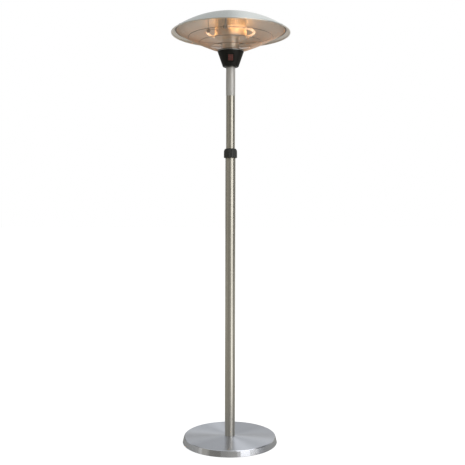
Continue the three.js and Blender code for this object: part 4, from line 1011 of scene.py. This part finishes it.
class HEATER_OT_head(bpy.types.Operator):
    """The reflector, the column that carries it and the polished lamp drum"""
    bl_idname = "heater.head"
    bl_label = "Reflector, column and drum"

    def execute(self, context):
        s = sizes()
        sheet, gap = s.thin_sheet, 0.4 * MM
        centre = sphere_centre()
        bead_sphere = s.dome_sphere - s.dome_bead
        bead_circle = high("reflector").x - s.dome_bead
        rim = math.degrees(math.acos(bead_circle / bead_sphere))
        bead_z = centre + bead_sphere * math.sin(math.radians(rim))
        inner = s.dome_sphere - s.dome_sheet
        tuck = math.degrees(math.acos((inner - bead_sphere) / s.dome_bead))
        bead = arc_points(bead_circle, bead_z, s.dome_bead, rim, rim + tuck - 360, 14)
        last_r, last_z = bead[-1]
        tuck_angle = math.degrees(math.atan2(last_z - centre, last_r))
        shell = (arc_points(0, centre, s.dome_sphere, 90, rim, 36)[:-1] + bead[:-1]
                 + arc_points(0, centre, inner, tuck_angle, 90, 36))
        for pole in (0, -1):
            shell[pole] = (0, shell[pole][1])
        add_piece("reflector_dome", turned(shell, steps=s.large_steps, loop=False),
                  reflector_sheet(), "head", "silver_sheet", "reflector", sharp=60)

        foot, column_top = low("column").z, under_dome(COLUMN) - gap
        column = turned(
            [(COLUMN - sheet, foot), (COLUMN_FLANGE, foot), (COLUMN_FLANGE, foot + 1 * MM),
             (COLUMN, foot + 1 * MM), (COLUMN, column_top), (COLUMN - sheet, column_top)],
            [((1, 2), 0.35 * MM), ((3,), 1.5 * MM), ((4, 5), 0.3 * MM)],
            steps=s.large_steps, segments=4)
        drum, neck, neck_foot = radius_of("lamp_drum"), DRUM_NECK, low("lamp_drum").z
        drum_floor, drum_top = neck_foot + DRUM_NECK_RISE, under_dome(drum) - gap
        can = turned(
            [(neck - sheet, neck_foot), (neck, neck_foot), (neck, drum_floor),
             (drum, drum_floor), (drum, drum_top), (drum - sheet, drum_top),
             (drum - sheet, drum_floor + sheet), (neck - sheet, drum_floor + sheet)],
            [((2,), 1.5 * MM), ((3,), 3.5 * MM), ((6,), 2.7 * MM), ((4, 5), 0.3 * MM)],
            steps=s.large_steps, segments=6)
        lamp_z = middle("lamp_tube").z
        for shape, name, node, material, slot in (
                (column, "column_tube", "column", column_sheet(), "silver_sheet"),
                (can, "lamp_drum_can", "lamp_drum", bright_sheet(), "polished_sheet")):
            holes = []
            for azimuth in LEAD_HOLES:
                hole = bmesh.new()
                bmesh.ops.create_cone(hole, cap_ends=True, segments=32, radius1=LEAD_HOLE,
                                      radius2=LEAD_HOLE, depth=60 * MM)
                holes.append(turn_to(hole, on_circle(1, azimuth, 0),
                                     on_circle(60 * MM, azimuth, lamp_z)))
            add_piece(name, carve(shape, holes), material, "head", slot, node, sharp=35)
        return {"FINISHED"}


class HEATER_OT_grille(bpy.types.Operator):
    """The dished wire grille: fine radial wires on stiff rings and an outer hoop"""
    bl_idname = "heater.grille"
    bl_label = "Grille"

    def execute(self, context):
        s = sizes()
        inner, hoop = GRILLE_INNER, high("grille").x - s.hoop_wire / 2
        inner_z = low("grille").z + s.hoop_wire / 2
        hoop_z = under_dome(hoop, s.dome_sheet + s.hoop_wire / 2 + 1 * MM)

        def height(radius):
            share = (radius - inner) / (hoop - inner)
            return inner_z + (hoop_z - inner_z) * share - 4 * s.grille_dish * share * (1 - share)

        thick, fine = bmesh.new(), bmesh.new()

        def keep(whole, part):
            mesh = bpy.data.meshes.new("part")
            part.to_mesh(mesh)
            part.free()
            whole.from_mesh(mesh)
            bpy.data.meshes.remove(mesh)

        def ring(radius, z, thickness, sides=8):
            part = bmesh.new()
            upright_circle(part, thickness / 2, sides)
            move(part, (radius, 0, z))
            keep(thick, spin_round(part, 144))

        def wires(number, start, end, offset, thickness):
            part = bmesh.new()
            bmesh.ops.create_cone(part, cap_ends=True, segments=5, radius1=thickness / 2,
                                  radius2=thickness / 2, depth=end - start)
            lengthwise = [e for e in part.edges
                          if abs(e.verts[0].co.z - e.verts[1].co.z) > thickness]
            bmesh.ops.subdivide_edges(part, edges=lengthwise, cuts=4)
            rotate(part, QUARTER_TURN, "Y")
            move(part, ((start + end) / 2, 0, 0))
            for vert in part.verts:
                vert.co.z += height(vert.co.x)
            rotate(part, offset, "Z")
            bmesh.ops.spin(part, geom=part.verts[:] + part.edges[:] + part.faces[:],
                           cent=(0, 0, 0), axis=(0, 0, 1), steps=number - 1,
                           angle=FULL_TURN * (number - 1) / number, use_duplicate=True)
            bmesh.ops.recalc_face_normals(part, faces=part.faces)
            keep(fine, part)

        ring(inner, inner_z, s.hoop_wire)
        ring(hoop, hoop_z, s.hoop_wire, 10)
        for radius in GRILLE_RINGS:
            ring(radius, height(radius) + (s.ring_wire + s.wire) / 2 * 0.7, s.ring_wire)
        half = s.wire_count // 2
        step = FULL_TURN / s.wire_count
        wires(half, inner, hoop, 0.0, s.wire)
        wires(half, GRILLE_RINGS[0], hoop, step, s.wire)
        # The rings and hoop take the dark finish: painted shade.
        for name, whole, material in (("grille_rings", thick, ring_plating_painted_shade()),
                                      ("grille_wires", fine, grille_plating())):
            add_piece(name, whole, material, "head", "grille_wire", "grille", sharp=80)
        return {"FINISHED"}


class HEATER_OT_lamp(bpy.types.Operator):
    """The ring lamp: quartz tube, glowing coil and ceramic ends"""
    bl_idname = "heater.lamp"
    bl_label = "Ring lamp"

    def execute(self, context):
        s = sizes()
        lamp_z = middle("lamp_tube").z
        circle, glass = LAMP_CIRCLE, LAMP_GLASS
        start, end = LAMP_START, LAMP_END
        sweep = math.radians(end - start)

        tube = bmesh.new()
        for radius in (glass, glass - 0.6 * MM):
            upright_circle(tube, radius, 20)
        move(tube, (circle, 0, lamp_z))
        rotate(tube, math.radians(start), "Z")
        bmesh.ops.spin(tube, geom=tube.verts[:] + tube.edges[:], cent=(0, 0, 0),
                       axis=(0, 0, 1), angle=sweep, steps=120)
        ends = [e for e in tube.edges if e.is_boundary]
        for side in (start, end):
            across = on_circle(1, side + 90, 0)
            near = [e for e in ends
                    if all(abs(v.co.dot(across)) < 1e-5 and v.co.dot(on_circle(1, side, 0)) > 0
                           for v in e.verts)]
            bmesh.ops.bridge_loops(tube, edges=near)
        bmesh.ops.recalc_face_normals(tube, faces=tube.faces)
        add_piece("lamp_glass", tube, quartz_glass(), "head", "quartz", "lamp_tube", sharp=50)

        coil = bmesh.new()
        upright_circle(coil, 0.4 * MM, 4)
        move(coil, (s.coil_radius, 0, 0))
        run = circle * sweep
        turns, per_turn = int(run / s.coil_pitch), 14
        bmesh.ops.spin(coil, geom=coil.verts[:] + coil.edges[:], cent=(0, 0, 0),
                       axis=(0, 0, 1), angle=FULL_TURN * turns, steps=turns * per_turn,
                       dvec=(0, 0, run / (turns * per_turn)))
        bmesh.ops.holes_fill(coil, edges=[e for e in coil.edges if e.is_boundary], sides=4)
        for vert in coil.verts:
            angle = math.degrees(vert.co.z / circle) + start
            away = circle + vert.co.x
            vert.co = on_circle(away, angle, lamp_z + vert.co.y)
        bmesh.ops.recalc_face_normals(coil, faces=coil.faces)
        add_piece("lamp_coil", coil, hot_coil(), "head", "glowing_wire", "lamp_filament",
                  sharp=80)

        for k, (azimuth, turn) in enumerate(((start, -1), (end, 1)), 1):
            into = on_circle(turn, azimuth + 90, 0)
            lamp_end = on_circle(circle, azimuth, lamp_z)
            long, insert, outer, waist = 22 * MM, 4 * MM, 8 * MM, 7.2 * MM
            bore, socket, ledge = 1.7 * MM, 6.8 * MM, long - insert - 0.3 * MM
            cap = turned(
                [(bore, 0), (outer - 1.5 * MM, 0), (outer, 1.5 * MM), (outer, long * 0.30),
                 (waist, long * 0.34), (waist, long * 0.62), (outer, long * 0.66),
                 (outer, long), (socket, long), (socket, ledge), (bore, ledge)],
                [((1, 2, 3, 4, 5, 6, 7, 8), 0.35 * MM)], steps=48, segments=2)
            turn_to(cap, -into, lamp_end + into * (long - insert))
            add_piece(f"lamp_end_{k}", cap, ceramic(), "head", "ceramic", f"lamp_cap_{k}")

        # The coil's heat on the sheet round it. The glass and the coil don't take this light.
        unlit = bpy.data.collections.new("not_lit_by_the_coil")
        for name in ("lamp_glass", "lamp_coil"):
            unlit.objects.link(bpy.data.objects[name])
        for member in unlit.collection_objects:
            member.light_linking.link_state = "EXCLUDE"
        chord = 2 * circle * math.sin(sweep / GLOW_PIECES / 2)
        for k in range(GLOW_PIECES):
            azimuth = start + (end - start) * (k + 0.5) / GLOW_PIECES
            inward = on_circle(-1, azimuth, 1)
            glow = add_lamp(f"lamp_glow_{k + 1}", on_circle(circle, azimuth, lamp_z), inward,
                            (chord, glass), GLOW_LEVEL, colours().glow)
            glow.light_linking.receiver_collection = unlit
            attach(glow, "head")
        return {"FINISHED"}


class HEATER_OT_fixings(bpy.types.Operator):
    """Screws, clips and lamp posts"""
    bl_idname = "heater.fixings"
    bl_label = "Fixings"

    def execute(self, context):
        lid_shank = high("lid_screw_1").z - low("lid_screw_1").z - 2 * MM
        for k in range(1, 4):
            for name, node, radius, tall, shank in (
                    (f"dome_screw_{k}", f"top_screw_{k}", 4.2 * MM, 1.6 * MM, 10 * MM),
                    (f"flange_screw_{k}", f"lid_screw_{k}", 4 * MM, 2 * MM, lid_shank)):
                at = middle(node)
                head = screw_head(radius, tall, 2 * MM, shank)
                move(head, (at.x, at.y, high(node).z - tall))
                add_piece(name, head, zinc_plate(), "head", "zinc_steel", node)

            for name, node in ((f"hoop_holder_{k}", f"hoop_clip_{k}"),
                               (f"lamp_hook_{k}", f"lamp_clip_{k}")):
                add_piece(name, refined(node, 0.25 * MM), zinc_plate(), "head", "zinc_steel",
                          node)
        for k in (1, 2):
            add_piece(f"lamp_strap_{k}", refined(f"lamp_post_{k}", 0.25 * MM), zinc_plate(),
                      "head", "zinc_steel", f"lamp_post_{k}")
        return {"FINISHED"}


class HEATER_OT_finishes(bpy.types.Operator):
    """Gives each node that stays in sight its finish"""
    bl_idname = "heater.finishes"
    bl_label = "Finishes"

    def execute(self, context):
        by_slot = {
            "brushed_steel": brushed_tube, "zinc_steel": zinc_plate,
            "silver_sheet": satin_sheet, "polished_sheet": bright_sheet,
            "grille_wire": grille_plating, "black_plastic": black_plastic,
            "grey_plastic": grey_plastic, "red_plastic": red_plastic,
            "label_film": label_film, "concrete": concrete, "rubber": rubber,
            "quartz": quartz_glass, "glowing_wire": hot_coil, "ceramic": ceramic,
            "lead_sleeve": lead_sleeve,
        }
        for part in frame["record"]["subparts"]:
            node = NODES[part["node"]]
            if not node.hide_render:
                node.data.materials.clear()
                node.data.materials.append(by_slot[part["material_slot"]]())
        return {"FINISHED"}


class HEATER_OT_stage(bpy.types.Operator):
    """The pale floor, the studio light and the camera"""
    bl_idname = "heater.stage"
    bl_label = "Stage"

    def execute(self, context):
        scene = context.scene
        scene.view_settings.view_transform = "Standard"

        bm = bmesh.new()
        bmesh.ops.create_grid(bm, x_segments=1, y_segments=1, size=40)
        mesh = bpy.data.meshes.new("studio_floor")
        bm.to_mesh(mesh)
        bm.free()
        floor = bpy.data.objects.new("studio_floor", mesh)
        scene.collection.objects.link(floor)
        mesh.materials.append(floor_finish())

        upright_panel("key_softbox", *KEY_SOFTBOX)
        for k, (start, end, level) in enumerate(LOW_CARDS, 1):
            upright_panel(f"low_card_{k}", start, end, CARD_DISTANCE, 0.0, CARD_TOP, level)
        studio_world(scene)

        camera = bpy.data.cameras.new("camera")
        camera.sensor_width = SENSOR_WIDTH
        camera.lens = SENSOR_WIDTH * FOCAL_LENGTH_IN_PIXELS / IMAGE_WIDTH
        eye = bpy.data.objects.new("camera", camera)
        scene.collection.objects.link(eye)
        matrix = Matrix.Translation(CAMERA_PLACE)
        for axis, degrees in CAMERA_TURNS:
            matrix = matrix @ Matrix.Rotation(math.radians(degrees), 4, axis)
        eye.matrix_world = matrix
        scene.camera = eye
        return {"FINISHED"}


def add_lamp(name, place, facing, size, radiance, tint=(1.0, 1.0, 1.0)):
    """A soft rectangular lamp: where it is, which way it shines, and how bright it looks."""
    light = bpy.data.lights.new(name, "AREA")
    light.shape = "RECTANGLE"
    light.size, light.size_y = size
    light.energy = radiance * math.pi * size[0] * size[1]
    light.color = tint
    lamp = bpy.data.objects.new(name, light)
    bpy.context.scene.collection.objects.link(lamp)
    turn = (-Vector(facing)).to_track_quat("Z", "Y").to_matrix().to_4x4()
    lamp.matrix_world = Matrix.Translation(place) @ turn
    lamp.visible_camera = False
    return lamp


def upright_panel(name, start, end, distance, bottom, top, level):
    """An upright soft panel round the object, between two headings and two heights."""
    heading, half = math.radians((start + end) / 2), math.radians((end - start) / 2)
    away = Vector((math.sin(heading), -math.cos(heading), 0.0))
    place = away * distance + Vector((0, 0, (bottom + top) / 2))
    width = 2 * distance * math.tan(min(half, math.radians(50)))
    add_lamp(name, place, -away, (width, top - bottom), level)


def floor_finish():
    """Pale floor that looks white to the camera, and to metal far behind the object."""
    f = Finish(bpy.data.materials.new("studio_floor"))
    _, y, _ = f.parts(f.place())
    camera, mirror = f.rays()
    # What metal mirrors: the floor's far end, and a bright strip in front of the object
    far = f.spread(y, 1.2, 2.6, 0.0, 0.3)
    radius, turn, _ = f.around()
    heading = turn * 360.0 + 90.0
    strip = (f.spread(heading, 22.0, 26.0, 0.0, 1.5) * f.spread(heading, 62.0, 68.0, 1.0, 0.0)
             * f.spread(radius, 0.36, 0.46, 0.0, 1.0) * f.spread(radius, 1.8, 2.0, 1.0, 0.0))
    lit = f.node("BsdfDiffuse",
                 color=f.shaded(colours().floor, 0.97 + f.cloud(3.0, 4.0) * 0.05))
    glow = f.node("Emission", color=(0.965, 0.975, 1.0, 1.0),
                  strength=camera * 0.83 + mirror * (far + strip))
    both = f.node("AddShader", in_0=lit, in_1=glow)
    f.node("OutputMaterial", surface=both)
    return f.owner


def studio_world(scene):
    """White where the camera looks past the object, a grey studio everywhere else."""
    world = bpy.data.worlds.new("studio")
    scene.world = world
    f = Finish(world)
    x, y, z = f.parts(f.node("TexCoord", output=0))
    heading = x.maths("ARCTAN2", x, 0.0 - y) * (180 / math.pi)
    camera, mirror = f.rays()
    walls = f.ramp(heading / 360.0 + 0.5, *[(at / 360 + 0.5, (level, level * 0.95, level * 0.82))
                                            for at, level in WALLS])
    walls = f.blend(f.spread(z, 0.0, 0.14, 0.0, 0.28), walls, (0.0, 0.0, 0.0))
    # z is the sine of the elevation. The sky starts low behind the object and high before it.
    overhead = f.spread(z, 0.50, 0.80, 0.0, 1.0)
    lift = (f.spread(z, 0.10, 0.45, 0.0, 1.0)
            * overhead.maths("MAXIMUM", overhead, f.spread(y, 0.15, 0.50, 0.0, 1.0)))
    # A brighter patch of sky to the rear right, and a white wall behind for metal and glass
    beside = (f.spread(x, -0.02, 0.12, 0.0, 0.40) * f.spread(x, 0.26, 0.42, 1.0, 0.0)
              * f.spread(z, 0.31, 0.38, 0.0, 1.0))
    sky = (f.spread(z, 0.30, 0.36, 0.62, 0.80) - f.spread(z, 0.40, 0.55, 0.0, 0.22)
           + f.spread(y, 0.05, 0.30, 0.14, 0.0) + beside)
    rear = (f.spread((heading + 6.0).size(), 157.0, 165.0, 0.0, 1.0)
            * f.spread(z, 0.10, 0.30, 1.0, 0.0) * mirror)
    room = f.blend(lift, walls, f.shaded((0.98, 1.0, 1.0), sky))
    white = (1.0, 1.0, 1.0)
    room = f.blend(rear.maths("MAXIMUM", rear, camera), room, white)
    background = f.node("Background", color=room, strength=1.0)
    f.node("OutputWorld", surface=background)


class HEATER_PT_panel(bpy.types.Panel):
    """Buttons that build the heater one group of pieces at a time"""
    bl_label = "Patio heater"
    bl_idname = "HEATER_PT_panel"
    bl_space_type = "VIEW_3D"
    bl_region_type = "UI"
    bl_category = "Heater"

    def draw(self, context):
        for operator in OPERATORS:
            self.layout.operator(operator.bl_idname)
        for group in (context.scene.heater_sizes, context.scene.heater_colours):
            box = self.layout.box()
            for name in group.__annotations__:
                box.prop(group, name)


OPERATORS = (
    HEATER_OT_base, HEATER_OT_pole, HEATER_OT_clamp, HEATER_OT_housing, HEATER_OT_switch,
    HEATER_OT_head, HEATER_OT_grille, HEATER_OT_lamp, HEATER_OT_fixings,
    HEATER_OT_finishes, HEATER_OT_stage,
)
CLASSES = (HeaterSizes, HeaterColours, *OPERATORS, HEATER_PT_panel)


def register():
    for each in CLASSES:
        bpy.utils.register_class(each)
    bpy.types.Scene.heater_sizes = bpy.props.PointerProperty(type=HeaterSizes)
    bpy.types.Scene.heater_colours = bpy.props.PointerProperty(type=HeaterColours)


def unregister():
    del bpy.types.Scene.heater_colours
    del bpy.types.Scene.heater_sizes
    for each in reversed(CLASSES):
        bpy.utils.unregister_class(each)


def main():
    register()
    for operator in OPERATORS:
        group, name = operator.bl_idname.split(".")
        getattr(getattr(bpy.ops, group), name)()
    bpy.context.view_layer.update()


if __name__ == "__main__":
    main()
